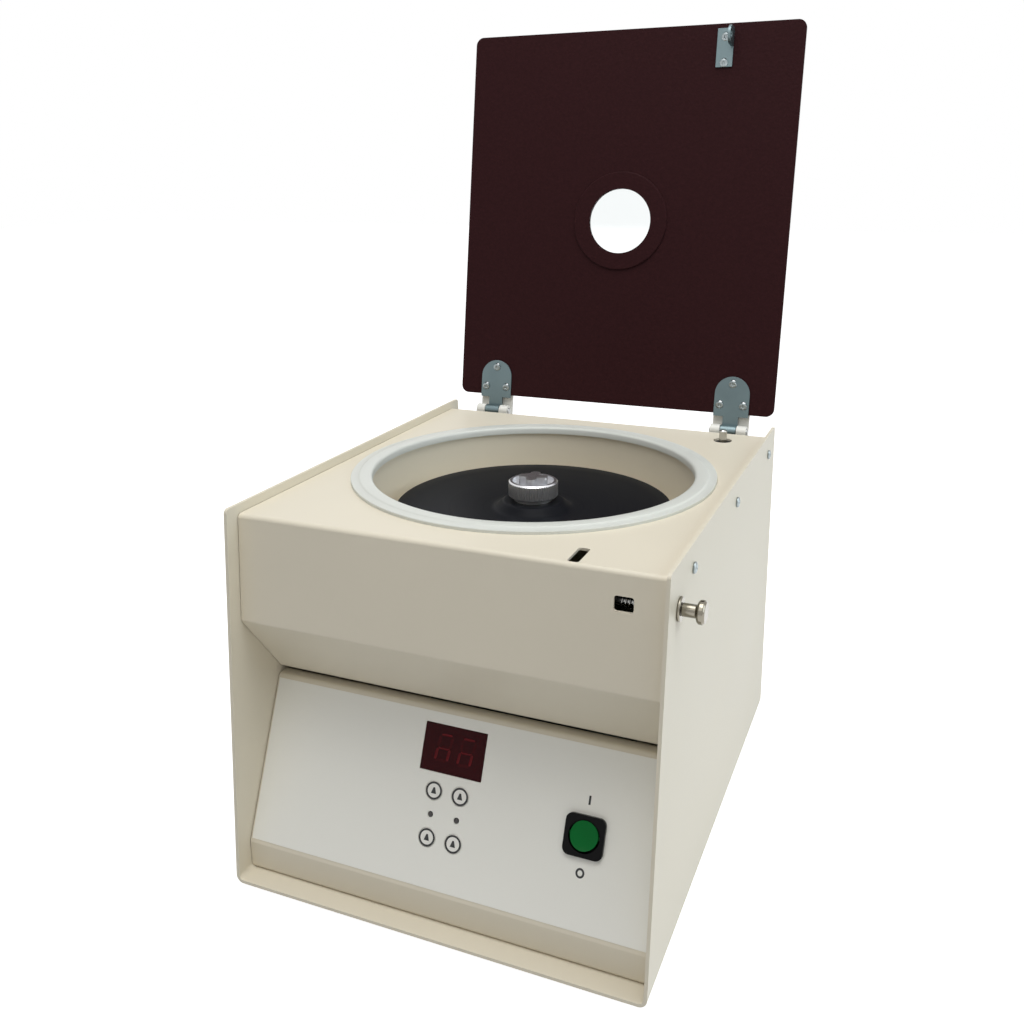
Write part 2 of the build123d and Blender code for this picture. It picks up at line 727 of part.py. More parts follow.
# Knurled nut with its tube through the cover, and the ring that keeps it there
nut_low = cone_top + nut_seat_gap
nut_top = nut_low + nut_neck_height + nut_height
nut_bore = spindle_radius + spindle_clearance
recess_z = nut_top - nut_recess_depth
retainer_top = cone_under - nut_seat_gap
tube_low = retainer_top - retainer_sheet
knurl_low = nut_low + nut_neck_height
bore_end = spindle_top + nut_seat_gap
nut = turned(
    (nut_bore, tube_low), (nut_tube, tube_low), (nut_tube, nut_low), (nut_neck, nut_low), (nut_neck, knurl_low),
    (nut_radius - edge_break, knurl_low), (nut_radius, knurl_low + edge_break), (nut_radius, nut_top - edge_break),
    (nut_radius - edge_break, nut_top), (nut_recess, nut_top), (nut_recess, recess_z), (0, recess_z),
    (0, bore_end), (nut_bore, bore_end))
bar = plate(2 * nut_boss, nut_boss_bar, nut_boss_corner, recess_z, recess_z + nut_boss_height)
for turn in (0, 90):
    nut += Rot(0, 0, turn + nut_boss_turn) * bar
flute = Pos(nut_radius + flute_out, 0, 0) * disc(flute_radius, knurl_low - past, nut_top + past)
for turn in range(nut_flutes):
    nut -= Rot(0, 0, turn * 360 / nut_flutes) * flute
parts["cover_nut"] = bowl_frame * nut
parts["nut_retainer"] = bowl_frame * ring(nut_tube, retainer_radius, tube_low, retainer_top)

# Lid: a flat plate with the view hole, the ring under it and the clear pane in the ring
view_h = lid_rear - bowl_y
leaf_pattern = ((0, leaf_screw_high), (-leaf_screw_side, leaf_screw_low), (leaf_screw_side, leaf_screw_low))
leaf_screw_places = [(side * hinge_x + dx, h, 0) for side in (-1, 1) for dx, h in leaf_pattern]
striker_mid = latch_x - striker_offset
striker_top = lid_rear - latch_y + ear_length / 2
striker_low = striker_top - striker_length
striker_places = [(striker_mid, striker_low + striker_screw_inset, 0),
                  (striker_mid, striker_top - striker_screw_inset, 0)]
lid = Pos(0, lid_length / 2, 0) * plate(lid_width, lid_length, lid_corner, -lid_sheet, 0)
lid -= Pos(0, view_h, 0) * disc(view_hole, -through, through)
for x, h, z in leaf_screw_places + striker_places:
    lid -= Pos(x, h, 0) * disc(screw_radius, -lid_sheet, past)
parts["lid_plate"] = lid_frame * lid
view_frame = lid_frame * Pos(0, view_h, 0)
parts["window_ring"] = view_frame * turned(
    (pane_radius + fit_gap, 0), (view_ring, 0), (view_ring, view_ring_height - fine_break),
    (view_ring - fine_break, view_ring_height), (view_hole, view_ring_height), (view_hole, pane_thickness),
    (pane_radius + fit_gap, pane_thickness))
parts["window_pane"] = view_frame * disc(pane_radius, 0, pane_thickness)

# Hinge leaves: round-topped plate, tongue and the knuckle round the pin
leaf_round = leaf_width / 2
leaf_mid = leaf_height - leaf_round
leaf_shape = (Pos(0, (leaf_mid - leaf_shoulder) / 2, 0) * Rectangle(leaf_width, leaf_mid + leaf_shoulder)
              + Pos(0, leaf_mid, 0) * Circle(leaf_round)
              + Pos(0, (leaf_mid - pin_behind_lid) / 2, 0) * Rectangle(tongue_width, leaf_mid + pin_behind_lid))
leaf = extrude(leaf_shape, amount=leaf_sheet)
knuckle = along_x(ring(pin_radius + pin_clearance, ear_radius, -tongue_width / 2, tongue_width / 2),
                  0, -pin_behind_lid, pin_below_lid)
leaf += knuckle
for x, h, z in leaf_screw_places:
    leaf -= Pos(x - hinge_x, h, 0) * disc(screw_hole, -past, leaf_sheet + past)
leaf_bore = disc(pin_radius + pin_clearance, -leaf_width, leaf_width)
leaf -= along_x(leaf_bore, 0, -pin_behind_lid, pin_below_lid)
parts["hinge_leaves"] = [lid_frame * Pos(side * hinge_x, 0, 0) * leaf for side in (-1, 1)]
parts["leaf_screws"] = [lid_frame * Pos(x, h, leaf_sheet) * small_screw for x, h, z in leaf_screw_places]

# Hinge brackets behind the deck, with the stop behind the lid, their pins and screws
stop_d = -lid_sheet - stop_gap - bracket_sheet / 2
shelf_z = deck_z - rear_lip - fit_gap - bracket_sheet / 2
shelf_h = (shelf_z - lid_foot_z - stop_d * sin(lean)) / cos(lean)
shelf_y = lid_foot_y + shelf_h * sin(lean) - stop_d * cos(lean)
stop_y = lid_foot_y + stop_height * sin(lean) - stop_d * cos(lean)
stop_z = lid_foot_z + stop_height * cos(lean) + stop_d * sin(lean)
wall_low = shelf_z - bracket_foot
half_sheet = bracket_sheet / 2
wall_gap = half_sheet / cos(radians(rear_angle))
bracket_line = FilletPolyline((rear_y(wall_low) + wall_gap, wall_low), (rear_y(shelf_z) + wall_gap, shelf_z),
                              (shelf_y, shelf_z), (stop_y, stop_z), radius=bracket_bend)
bracket_section = Plane.YZ * trace(bracket_line, line_width=bracket_sheet)
bracket = extrude(bracket_section, amount=bracket_width / 2, both=True)
ear_back = shelf_y - half_sheet / 2
ear_shape = make_face(Polyline((pin_y - ear_radius, pin_z), (pin_y - ear_radius, shelf_z), (ear_back, shelf_z),
                               (ear_back, pin_z), (pin_y, pin_z + (ear_radius + pin_radius) / 2), close=True))
ear_plate = extrude(Plane.YZ * (ear_shape + Pos(pin_y, pin_z) * Circle(ear_radius)), amount=bracket_ear)
ear_inner = tongue_width / 2 + tongue_gap
bracket += Pos(ear_inner, 0, 0) * ear_plate
bracket += Pos(-ear_inner - bracket_ear, 0, 0) * ear_plate
bracket -= along_x(disc(pin_radius, -bracket_width, bracket_width), 0, pin_y, pin_z)
parts["hinge_brackets"] = []
for side in (-1, 1):
    piece = Pos(side * hinge_x, 0, 0) * bracket
    for x, h, z in bracket_screws:
        piece -= rear_frame * Pos(x, h, 0) * disc(screw_hole, -past, through)
    parts["hinge_brackets"].append(piece)
pin_half = ear_inner + bracket_ear + pin_end
pin_tip = pin_radius - fine_break
pin = turned((0, -pin_half), (pin_tip, -pin_half), (pin_radius, fine_break - pin_half),
             (pin_radius, pin_half - fine_break), (pin_tip, pin_half), (0, pin_half))
parts["hinge_pins"] = [along_x(pin, side * hinge_x, pin_y, pin_z) for side in (-1, 1)]
rear_screw = Pos(0, 0, bracket_sheet) * case_screw
parts["bracket_screws"] = [rear_frame * piece for piece in at(bracket_screws, rear_screw)]

# Lid latch: striker on the lid
catch_d = lid_under - catch_z
ear_mid = lid_rear - latch_y
ear_x = striker_mid + striker_width / 2
striker = block(striker_mid - striker_width / 2, ear_x, striker_low, striker_top, 0, striker_sheet)
ear_round = ear_length / 2
ear_middle = ear_depth - ear_round
ear_outline = Rectangle(ear_length, 2 * ear_middle) + Pos(0, ear_middle) * Circle(ear_round)
ear_block = Pos(ear_x - striker_ear, ear_mid, 0) * extrude(Plane.YZ * ear_outline, amount=striker_ear)
striker += ear_block & block(0, case_width, 0, 2 * lid_length, 0, case_width)
striker -= along_x(disc(catch_hole, 0, case_width), 0, ear_mid, catch_d)
for x, h, z in striker_places:
    striker -= Pos(x, h, 0) * disc(screw_hole, -past, striker_sheet + past)
parts["latch_striker"] = lid_frame * striker
striker_screw = Pos(0, 0, striker_sheet) * small_screw
parts["striker_screws"] = [lid_frame * piece for piece in at(striker_places, striker_screw)]

# Lid latch: bracket under the deck, rod, slider with the catch pin, spring, bush and knob
rod_bore = rod_radius + rod_clearance
housing_leg_outer = case_width / 2 - housing_inset
housing_leg_inner = housing_leg_outer + housing_sheet - housing_length
slider_x = housing_leg_inner + slider_gap
catch_tip = latch_x - catch_reach
leg_places = (housing_leg_inner, housing_leg_outer)
leg_bottom = rod_z - housing_width / 2 + housing_sheet
housing_y = (latch_y - housing_width / 2, latch_y + housing_width / 2)
housing_under = deck_under - housing_sheet
housing = block(housing_leg_inner, housing_leg_outer + housing_sheet, *housing_y, housing_under, deck_under)
for x in leg_places:
    housing += block(x, x + housing_sheet, *housing_y, leg_bottom, housing_under)
housing -= along_x(disc(rod_bore, 0, case_width), 0, latch_y, rod_z)
housing -= along_x(disc(catch_radius + rod_clearance, 0, housing_leg_outer), 0, latch_y, catch_z)
parts["latch_housing"] = housing
rod_low = housing_leg_inner - catch_radius
knob_x = case_width / 2 + bush_flange + knob_gap
parts["latch_rod"] = along_x(disc(rod_radius, 0, knob_x - rod_low), rod_low, latch_y, rod_z)
slider = block(slider_x, slider_x + slider_sheet, latch_y - slider_width / 2, latch_y + slider_width / 2,
               rod_z - slider_width / 2, housing_under - fit_gap)
catch_length = slider_x + slider_sheet - catch_tip
catch = turned((0, 0), (catch_radius - edge_break, 0), (catch_radius, edge_break), (catch_radius, catch_length),
               (0, catch_length))
slider += along_x(catch, catch_tip, latch_y, catch_z)
parts["latch_slider"] = slider - along_x(disc(rod_radius, 0, case_width), 0, latch_y, rod_z)
spring_x = housing_leg_outer - spring_length
spring = ring(rod_radius + fit_gap, spring_radius, 0, spring_length)
parts["latch_spring"] = along_x(spring, spring_x, latch_y, rod_z)
bush = turned((rod_bore, -bush_length), (bush_sleeve, -bush_length), (bush_sleeve, 0), (bush_radius, 0),
              (bush_radius, bush_flange - fine_break), (bush_radius - fine_break, bush_flange),
              (rod_bore, bush_flange))
parts["latch_bush"] = along_x(bush, case_width / 2, latch_y, rod_z)
knob_end = knob_reach - bush_flange - knob_gap
head_low = knob_end - knob_head
knob = turned((0, 0), (knob_neck, 0), (knob_neck, head_low - knob_bevel), (knob_radius - knob_bevel, head_low),
              (knob_radius, head_low + knob_bevel), (knob_radius, knob_end - edge_break),
              (knob_radius - edge_break, knob_end), (0, knob_end))
parts["latch_knob"] = along_x(knob, knob_x, latch_y, rod_z)

# Lid switch under the deck, and its plunger
plunger_top = deck_z + plunger_height
plunger_low = plunger_top - plunger_length
plunger_bore = plunger_radius + spindle_clearance
switch_block = block(-switch_box[0] / 2, switch_box[0] / 2, -switch_box[1] / 2, switch_box[1] / 2,
                     deck_under - switch_box[2], deck_under)
switch_block -= disc(plunger_bore, plunger_low - plunger_travel - past, deck_z)
parts["lid_switch"] = Pos(plunger_x, plunger_y, 0) * switch_block
parts["switch_plunger"] = Pos(plunger_x, plunger_y, 0) * turned(
    (0, plunger_low), (plunger_radius, plunger_low), (plunger_radius, plunger_top - edge_break),
    (plunger_radius - edge_break, plunger_top), (0, plunger_top))

# Control board on standoffs behind the slanted panel, with the display, key switches and lamps
board_front = -board_depth
board_back = board_front - board_sheet
board_half = board_width / 2
standoff_inset = 2 * standoff_radius
standoff_reach = board_half - standoff_inset
standoff_places = [(x, s, 0) for x in (display_x - standoff_reach, display_x + standoff_reach)
                   for s in (board_low + standoff_inset, board_high - standoff_inset)]
board = block(display_x - board_half, display_x + board_half, board_low, board_high, board_back, board_front)
for x, s, z in standoff_places:
    board -= Pos(x, s, 0) * disc(screw_radius, board_back - past, board_front + past)
standoff = disc(standoff_radius, board_front, -cover_sheet)
standoff += disc(screw_radius, board_back - stud_end, board_front)
pane_back = -cover_sheet - pane_flange
module_front = pane_back - segment_sheet
pane_x = display_width / 2
pane_s = display_height / 2
display_frame = panel_frame * Pos(display_x, display_s, 0)
module = block(-pane_x, pane_x, -pane_s, pane_s, board_front, module_front)
pane = block(-pane_x, pane_x, -pane_s, pane_s, -cover_sheet, film)
pane += block(-pane_x - pane_flange, pane_x + pane_flange, -pane_s - pane_flange, pane_s + pane_flange,
              pane_back, -cover_sheet)


def segment(x, y, length, angle):
    """One bar of a digit, pointed at both ends and slanted with the digit."""
    half, point = length / 2, segment_width / 2
    inner = half - point
    corners = [(-half, 0), (-inner, point), (inner, point), (half, 0), (inner, -point), (-inner, -point)]
    turn = radians(angle)
    spots = [(x + u * cos(turn) - v * sin(turn), y + u * sin(turn) + v * cos(turn)) for u, v in corners]
    slanted = [(u + v * tan(radians(digit_slant)), v) for u, v in spots]
    outline = make_face(Polyline(*slanted, close=True))
    return extrude(Pos(0, 0, module_front) * outline, amount=segment_sheet)


segments = []
across = digit_width - segment_width
upright = (digit_height - segment_width) / 2
for digit in (-digit_pitch / 2, digit_pitch / 2):
    for level in (-upright, 0, upright):
        segments.append(segment(digit, level, across - segment_gap, 0))
    for x in (-across / 2, across / 2):
        for level in (-upright / 2, upright / 2):
            segments.append(segment(digit + x, level, upright - segment_gap, 90))
key_under = -cover_sheet - key_flange_sheet
stem_low = key_under - key_stem_length
switch_top = stem_low - key_travel - key_rest_gap
key_shape = turned(
    (0, stem_low), (key_stem, stem_low), (key_stem, key_under), (key_flange, key_under), (key_flange, -cover_sheet),
    (key_radius, -cover_sheet), (key_radius, key_proud - key_break), (key_radius - key_break, key_proud),
    (0, key_proud))
switch_high = board_front + key_switch_height
key_switch_shape = block(-key_switch / 2, key_switch / 2, -key_switch / 2, key_switch / 2, board_front, switch_high)
key_switch_shape += disc(key_stem, switch_high, switch_top)
lamp_foot = lamp_radius + lamp_flange
lamp_step = -cover_sheet - edge_break
lamp = turned((0, board_front), (lamp_foot, board_front), (lamp_foot, lamp_step), (lamp_radius, lamp_step),
              (lamp_radius, film), (lamp_radius - lamp_flange, film + lamp_dome - lamp_flange),
              (0, film + lamp_dome))
parts["control_board"] = panel_frame * board
parts["board_standoffs"] = [panel_frame * piece for piece in at(standoff_places, standoff)]
parts["display_module"] = display_frame * module
parts["display_segments"] = [display_frame * piece for piece in segments]
parts["display_window"] = display_frame * pane
parts["key_switches"] = [panel_frame * piece for piece in at(key_places, key_switch_shape)]
parts["led_lamps"] = [panel_frame * piece for piece in at(lamp_places, lamp)]
for number, place in enumerate(key_places, start=1):
    parts[f"key_{number}"] = panel_frame * Pos(*place) * key_shape

# Power switch: square bezel with a round well, and the round rocker on its pins
bezel = plate(switch_width, switch_height, switch_corner, film, film + switch_rim)
bezel += block(-switch_body / 2, switch_body / 2, -switch_body / 2, switch_body / 2, -switch_depth, film)
bezel -= disc(rocker_well, rocker_low - rocker_well * sin(radians(2 * rocker_tilt)), through)
pin_length = (rocker_well + switch_body / 2) / 2
pin_socket = disc(rocker_pin + spindle_clearance, -pin_length - fit_gap, pin_length + fit_gap)
bezel -= along_x(pin_socket, 0, 0, rocker_pivot)
dish = along_x(disc(rocker_dish, -rocker_well, rocker_well), 0, 0, rocker_top + rocker_dish - rocker_hollow)
rocker = disc(rocker_radius, rocker_low, rocker_top) - dish
rocker += along_x(disc(rocker_pin, -pin_length, pin_length), 0, 0, rocker_pivot)
switch_frame = panel_frame * Pos(switch_x, switch_s, 0)
parts["switch_bezel"] = switch_frame * bezel
tilted = Pos(0, 0, rocker_pivot) * Rot(-rocker_tilt, 0, 0) * Pos(0, 0, -rocker_pivot) * rocker
parts["power_rocker"] = switch_frame * tilted

# Rear fittings: mains inlet, fuse holder; transformer on the floor
body_width = socket_width + 2 * inlet_wall
body_height = socket_height + 2 * inlet_wall
inlet = plate(inlet_width, inlet_height, inlet_flange, 0, inlet_flange)
inlet += block(-body_width / 2, body_width / 2, -body_height / 2, body_height / 2, -inlet_body, 0)
inlet -= plate(socket_width, socket_height, inlet_wall, inlet_flange - socket_depth, inlet_flange + past)
blade = block(-blade_sheet / 2, blade_sheet / 2, -blade_width / 2, blade_width / 2, inlet_flange - socket_depth, 0)
blade_x = socket_width / 4
inlet += Pos(0, blade_width / 2, 0) * blade
for x in (-blade_x, blade_x):
    inlet += Pos(x, -blade_width / 2, 0) * blade
for x, h, z in inlet_screws:
    inlet -= Pos(x + inlet_x, h - inlet_h, 0) * disc(screw_hole, -past, inlet_flange + past)
parts["mains_inlet"] = rear_frame * Pos(-inlet_x, inlet_h, 0) * inlet
inlet_screw = Pos(0, 0, inlet_flange) * case_screw
parts["inlet_screws"] = [rear_frame * piece for piece in at(inlet_screws, inlet_screw)]
rim_radius = fuse_radius + fuse_rim
fuse = turned((0, -fuse_length), (fuse_body, -fuse_length), (fuse_body, 0), (rim_radius, 0),
              (rim_radius, fuse_rim_height), (fuse_radius, fuse_rim_height), (fuse_radius - fine_break, fuse_cap),
              (0, fuse_cap))
fuse -= block(-fuse_radius, fuse_radius, -coin_slot / 2, coin_slot / 2, fuse_cap - coin_slot, fuse_cap + past)
parts["fuse_holder"] = rear_frame * Pos(-fuse_x, fuse_h, 0) * fuse
core_x, core_y, core_z = transformer_core
coil_x, coil_y, coil_z = coil_size
foot_y = core_y + 4 * head_radius
core_half = core_x / 2
transformer = block(-core_half, core_half, -foot_y / 2, foot_y / 2, case_sheet, case_sheet + bracket_sheet)
transformer += block(-core_half, core_half, -core_y / 2, core_y / 2, case_sheet, case_sheet + core_z)
coil = plate(coil_x, coil_y, case_bend, case_sheet, case_sheet + coil_z)
transformer += Pos(0, 0, (core_z - coil_z) / 2) * coil
for x, y, z in coil_places:
    hole = disc(screw_radius, 0, case_sheet + bracket_sheet + past)
    transformer -= Pos(x - transformer_x, y - transformer_y, 0) * hole
parts["transformer"] = Pos(transformer_x, transformer_y, 0) * transformer

# The part's own frame: centre of the whole on X and Y, lowest point at Z = 0
pieces = {name: list(solids) if isinstance(solids, list) else [solids] for name, solids in parts.items()}
whole = Compound(children=[copy(piece) for solids in pieces.values() for piece in solids]).bounding_box()
shift = Pos(-(whole.min.X + whole.max.X) / 2, -(whole.min.Y + whole.max.Y) / 2, -whole.min.Z)
os.makedirs("parts", exist_ok=True)
for name, solids in pieces.items():
    moved = [shift * piece for piece in solids]
    export_step(moved[0] if len(moved) == 1 else Compound(children=moved), f"parts/{name}.step")
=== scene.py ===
import json
from math import atan2, cos, pi, radians, sin

import bmesh
import bpy
from mathutils import Matrix, Vector


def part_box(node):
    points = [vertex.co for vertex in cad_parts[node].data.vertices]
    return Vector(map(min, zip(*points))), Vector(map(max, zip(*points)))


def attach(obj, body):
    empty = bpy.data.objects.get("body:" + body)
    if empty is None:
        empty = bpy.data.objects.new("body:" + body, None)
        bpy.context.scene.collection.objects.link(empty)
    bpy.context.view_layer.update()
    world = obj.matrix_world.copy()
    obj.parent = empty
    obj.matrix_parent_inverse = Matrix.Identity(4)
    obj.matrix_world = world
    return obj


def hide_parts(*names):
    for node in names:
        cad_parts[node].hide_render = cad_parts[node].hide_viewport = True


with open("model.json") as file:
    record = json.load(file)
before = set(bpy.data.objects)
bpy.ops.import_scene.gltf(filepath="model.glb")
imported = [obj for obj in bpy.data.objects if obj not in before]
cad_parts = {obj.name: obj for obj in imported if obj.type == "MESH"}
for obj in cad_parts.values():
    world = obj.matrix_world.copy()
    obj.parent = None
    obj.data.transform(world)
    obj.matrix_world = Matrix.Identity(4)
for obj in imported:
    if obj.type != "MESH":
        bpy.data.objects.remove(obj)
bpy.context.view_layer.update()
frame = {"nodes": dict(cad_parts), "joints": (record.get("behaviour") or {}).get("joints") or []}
scene = bpy.context.scene
scene.view_settings.view_transform = "Standard"

# Camera, as the photograph was taken: a little above the deck, from the front right.
# Its place and turn come from the case's corners and the bowl's round edges.
camera_place = Vector((0.23155, -0.61010, 0.43200))
camera_azimuth = radians(23.24)
camera_elevation = radians(16.04)
camera_roll = radians(-0.574)
camera_focal = 1025.0
camera_centre = (508.8, 455.5)
photo_size = 1024
sensor_width = 36.0
backwards = Vector((sin(camera_azimuth) * cos(camera_elevation),
                    -cos(camera_azimuth) * cos(camera_elevation), sin(camera_elevation)))
level_right = Vector((cos(camera_azimuth), sin(camera_azimuth), 0))
level_up = backwards.cross(level_right)
right = cos(camera_roll) * level_right + sin(camera_roll) * level_up
up = cos(camera_roll) * level_up - sin(camera_roll) * level_right
camera = bpy.data.objects.new("camera", bpy.data.cameras.new("camera"))
camera.data.sensor_width = sensor_width
camera.data.lens = camera_focal * sensor_width / photo_size
camera.data.shift_x = (photo_size / 2 - camera_centre[0]) / photo_size
camera.data.shift_y = (camera_centre[1] - photo_size / 2) / photo_size
camera.data.clip_start = 0.01
camera.matrix_world = Matrix.Translation(camera_place) @ Matrix((right, up, backwards)).transposed().to_4x4()
scene.collection.objects.link(camera)
scene.camera = camera

# Studio: soft light from above and from the right, a pale world, and a pale floor.
# The floor and the world look white to the camera and to metal, but light the case plainly.
lamp_list = (
    ("top_light", (0.15, -0.2, 1.75), (0.0, 0.0, 0.15), 1.1, 16.5, (1.0, 1.0, 1.0)),
    ("right_light", (1.7, 0.1, 0.9), (0.0, 0.0, 0.2), 1.2, 11.0, (0.82, 0.93, 1.0)),
    ("front_light", (0.0, -0.9, 1.5), (0.0, 0.0, 0.15), 1.2, 4.8, (1.0, 1.0, 1.0)),
)
for lamp_name, lamp_place, lamp_aim, lamp_size, lamp_power, lamp_colour in lamp_list:
    lamp = bpy.data.lights.new(lamp_name, "AREA")
    lamp.color = lamp_colour
    lamp.size = lamp_size
    lamp.energy = lamp_power
    lamp_object = bpy.data.objects.new(lamp_name, lamp)
    lamp_object.location = lamp_place
    lamp_object.rotation_euler = (Vector(lamp_aim) - Vector(lamp_place)).to_track_quat("-Z", "Y").to_euler()
    scene.collection.objects.link(lamp_object)

world_light = 0.22
floor_colour = (0.6, 0.6, 0.6, 1)
floor_glow = 0.95


def add(tree, kind, **values):
    """A node with some of its plain settings or its inputs set by name."""
    node = tree.nodes.new(kind)
    for name, value in values.items():
        key = name.replace("_", " ").title()
        if key in node.inputs:
            node.inputs[key].default_value = value
        else:
            setattr(node, name, value)
    return node


def linked(tree, *links):
    """Joins sockets: each link is a node, its output, another node and its input."""
    for source, out, target, into in links:
        tree.links.new(source.outputs[out], target.inputs[into])


def seen_or_mirrored(tree):
    """1 where the camera, a reflection or a clear pane looks, 0 where light falls."""
    path = add(tree, "ShaderNodeLightPath")
    reflected = add(tree, "ShaderNodeMath", operation="MAXIMUM")
    either = add(tree, "ShaderNodeMath", operation="MAXIMUM")
    linked(tree, (path, "Is Glossy Ray", reflected, 0), (path, "Is Transmission Ray", reflected, 1),
           (path, "Is Camera Ray", either, 0), (reflected, 0, either, 1))
    return either.outputs[0]


world = bpy.data.worlds.new("studio")
world.use_nodes = True
scene.world = world
sky = world.node_tree
background = sky.nodes["Background"]
background.inputs["Color"].default_value = (1, 1, 1, 1)
strength = sky.nodes.new("ShaderNodeMapRange")
strength.inputs["To Min"].default_value = world_light
strength.inputs["To Max"].default_value = 1.0
sky.links.new(seen_or_mirrored(sky), strength.inputs["Value"])
sky.links.new(strength.outputs["Result"], background.inputs["Strength"])

floor_half = 6.0
floor_mesh = bpy.data.meshes.new("floor")
floor_mesh.from_pydata([(-floor_half, -floor_half, 0), (floor_half, -floor_half, 0),
                        (floor_half, floor_half, 0), (-floor_half, floor_half, 0)], [], [(0, 1, 2, 3)])
floor = bpy.data.objects.new("floor", floor_mesh)
scene.collection.objects.link(floor)
floor_paint = bpy.data.materials.new("floor_paint")
floor_paint.use_nodes = True
tree = floor_paint.node_tree
shader = tree.nodes["Principled BSDF"]
shader.inputs["Base Color"].default_value = floor_colour
shader.inputs["Roughness"].default_value = 0.9
glow = tree.nodes.new("ShaderNodeMapRange")
glow.inputs["To Min"].default_value = 0.0
glow.inputs["To Max"].default_value = floor_glow
tree.links.new(seen_or_mirrored(tree), glow.inputs["Value"])
shader.inputs["Emission Color"].default_value = (1, 1, 1, 1)
tree.links.new(glow.outputs["Result"], shader.inputs["Emission Strength"])
floor_mesh.materials.append(floor_paint)


# Case: folded sheet steel, powder coated in cream with a fine orange peel.
# Each sheet's cut edges are rounded by the coat, so a copy of the solid gets a small bevel.
def linear(red, green, blue):
    """A colour as it looks on screen, 0 to 255, as the light that the shader wants."""
    return tuple((v / 255 / 12.92) if v / 255 < 0.04045 else ((v / 255 + 0.055) / 1.055) ** 2.4
                 for v in (red, green, blue)) + (1.0,)


def group(name, inputs, outputs):
    """An empty shader node group with float, colour or vector sockets, and its two end nodes."""
    tree = bpy.data.node_groups.new(name, "ShaderNodeTree")
    kinds = {"f": "NodeSocketFloat", "c": "NodeSocketColor", "v": "NodeSocketVector"}
    for label, kind, value in inputs:
        socket = tree.interface.new_socket(label, in_out="INPUT", socket_type=kinds[kind])
        socket.default_value = value
    for label, kind in outputs:
        tree.interface.new_socket(label, in_out="OUTPUT", socket_type=kinds[kind])
    return tree, tree.nodes.new("NodeGroupInput"), tree.nodes.new("NodeGroupOutput")


def toned(tree, given, made, value, depth, gloss):
    """Ends a surface group: value, around a half, shades its Color and moves its Roughness a little."""
    around = add(tree, "ShaderNodeMath", operation="SUBTRACT")
    around.inputs[1].default_value = 0.5
    shade = add(tree, "ShaderNodeMath", operation="MULTIPLY_ADD")
    shade.inputs[2].default_value = 1.0
    tint = add(tree, "ShaderNodeVectorMath", operation="SCALE")
    shine = add(tree, "ShaderNodeMath", operation="MULTIPLY_ADD")
    shine.inputs[1].default_value = gloss
    tree.links.new(value, around.inputs[0])
    linked(tree, (around, 0, shade, 0), (given, depth, shade, 1), (given, "Color", tint, 0),
           (shade, 0, tint, "Scale"), (tint, 0, made, "Color"), (around, 0, shine, 0),
           (given, "Roughness", shine, 2), (shine, 0, made, "Roughness"))


# Coat: Peel Scale sets the size of the orange peel, and Cloud the slight clouds of shade in the paint.
coat_group, given, made = group(
    "powder_coat", (("Color", "c", (0.8, 0.8, 0.8, 1)), ("Peel Scale", "f", 900.0), ("Cloud Scale", "f", 9.0),
                    ("Cloud Depth", "f", 0.05), ("Roughness", "f", 0.45)),
    (("Color", "c"), ("Roughness", "f"), ("Height", "f")))
place = add(coat_group, "ShaderNodeTexCoord")
peel = add(coat_group, "ShaderNodeTexNoise", detail=2.0, roughness=0.55)
fine = add(coat_group, "ShaderNodeTexVoronoi", feature="SMOOTH_F1")
cloud = add(coat_group, "ShaderNodeTexNoise", detail=3.0)
for texture, socket in ((peel, "Peel Scale"), (fine, "Peel Scale"), (cloud, "Cloud Scale")):
    linked(coat_group, (place, "Object", texture, "Vector"), (given, socket, texture, "Scale"))
both = add(coat_group, "ShaderNodeMath", operation="MULTIPLY_ADD")
both.inputs[1].default_value = 0.45
linked(coat_group, (fine, "Distance", both, 0), (peel, "Fac", both, 2), (both, 0, made, "Height"))
toned(coat_group, given, made, cloud.outputs["Fac"], "Cloud Depth", gloss=0.12)


def bare_material(name):
    """A new material, its tree and its Principled shader."""
    material = bpy.data.materials.new(name)
    material.use_nodes = True
    return material, material.node_tree, material.node_tree.nodes["Principled BSDF"]


def surfaced(name, shared, depth=0.00006, settings=(), **values):
    """A material on a shared surface: values go to the group's inputs, settings to the shader's."""
    material, tree, shader = bare_material(name)
    surface = tree.nodes.new("ShaderNodeGroup")
    surface.node_tree = shared
    for label, value in values.items():
        surface.inputs[label.replace("_", " ").title()].default_value = value
    linked(tree, (surface, "Color", shader, "Base Color"), (surface, "Roughness", shader, "Roughness"))
    bump = add(tree, "ShaderNodeBump", strength=0.6, distance=depth)
    linked(tree, (surface, "Height", bump, "Height"), (bump, "Normal", shader, "Normal"))
    for label, value in settings:
        shader.inputs[label].default_value = value
    return material


def finish(piece, body, slot, *nodes):
    """Lets a piece ride on its body and puts it in place of the CAD nodes; its slot is not used."""
    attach(piece, body)
    if nodes:
        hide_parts(*nodes)
    return piece


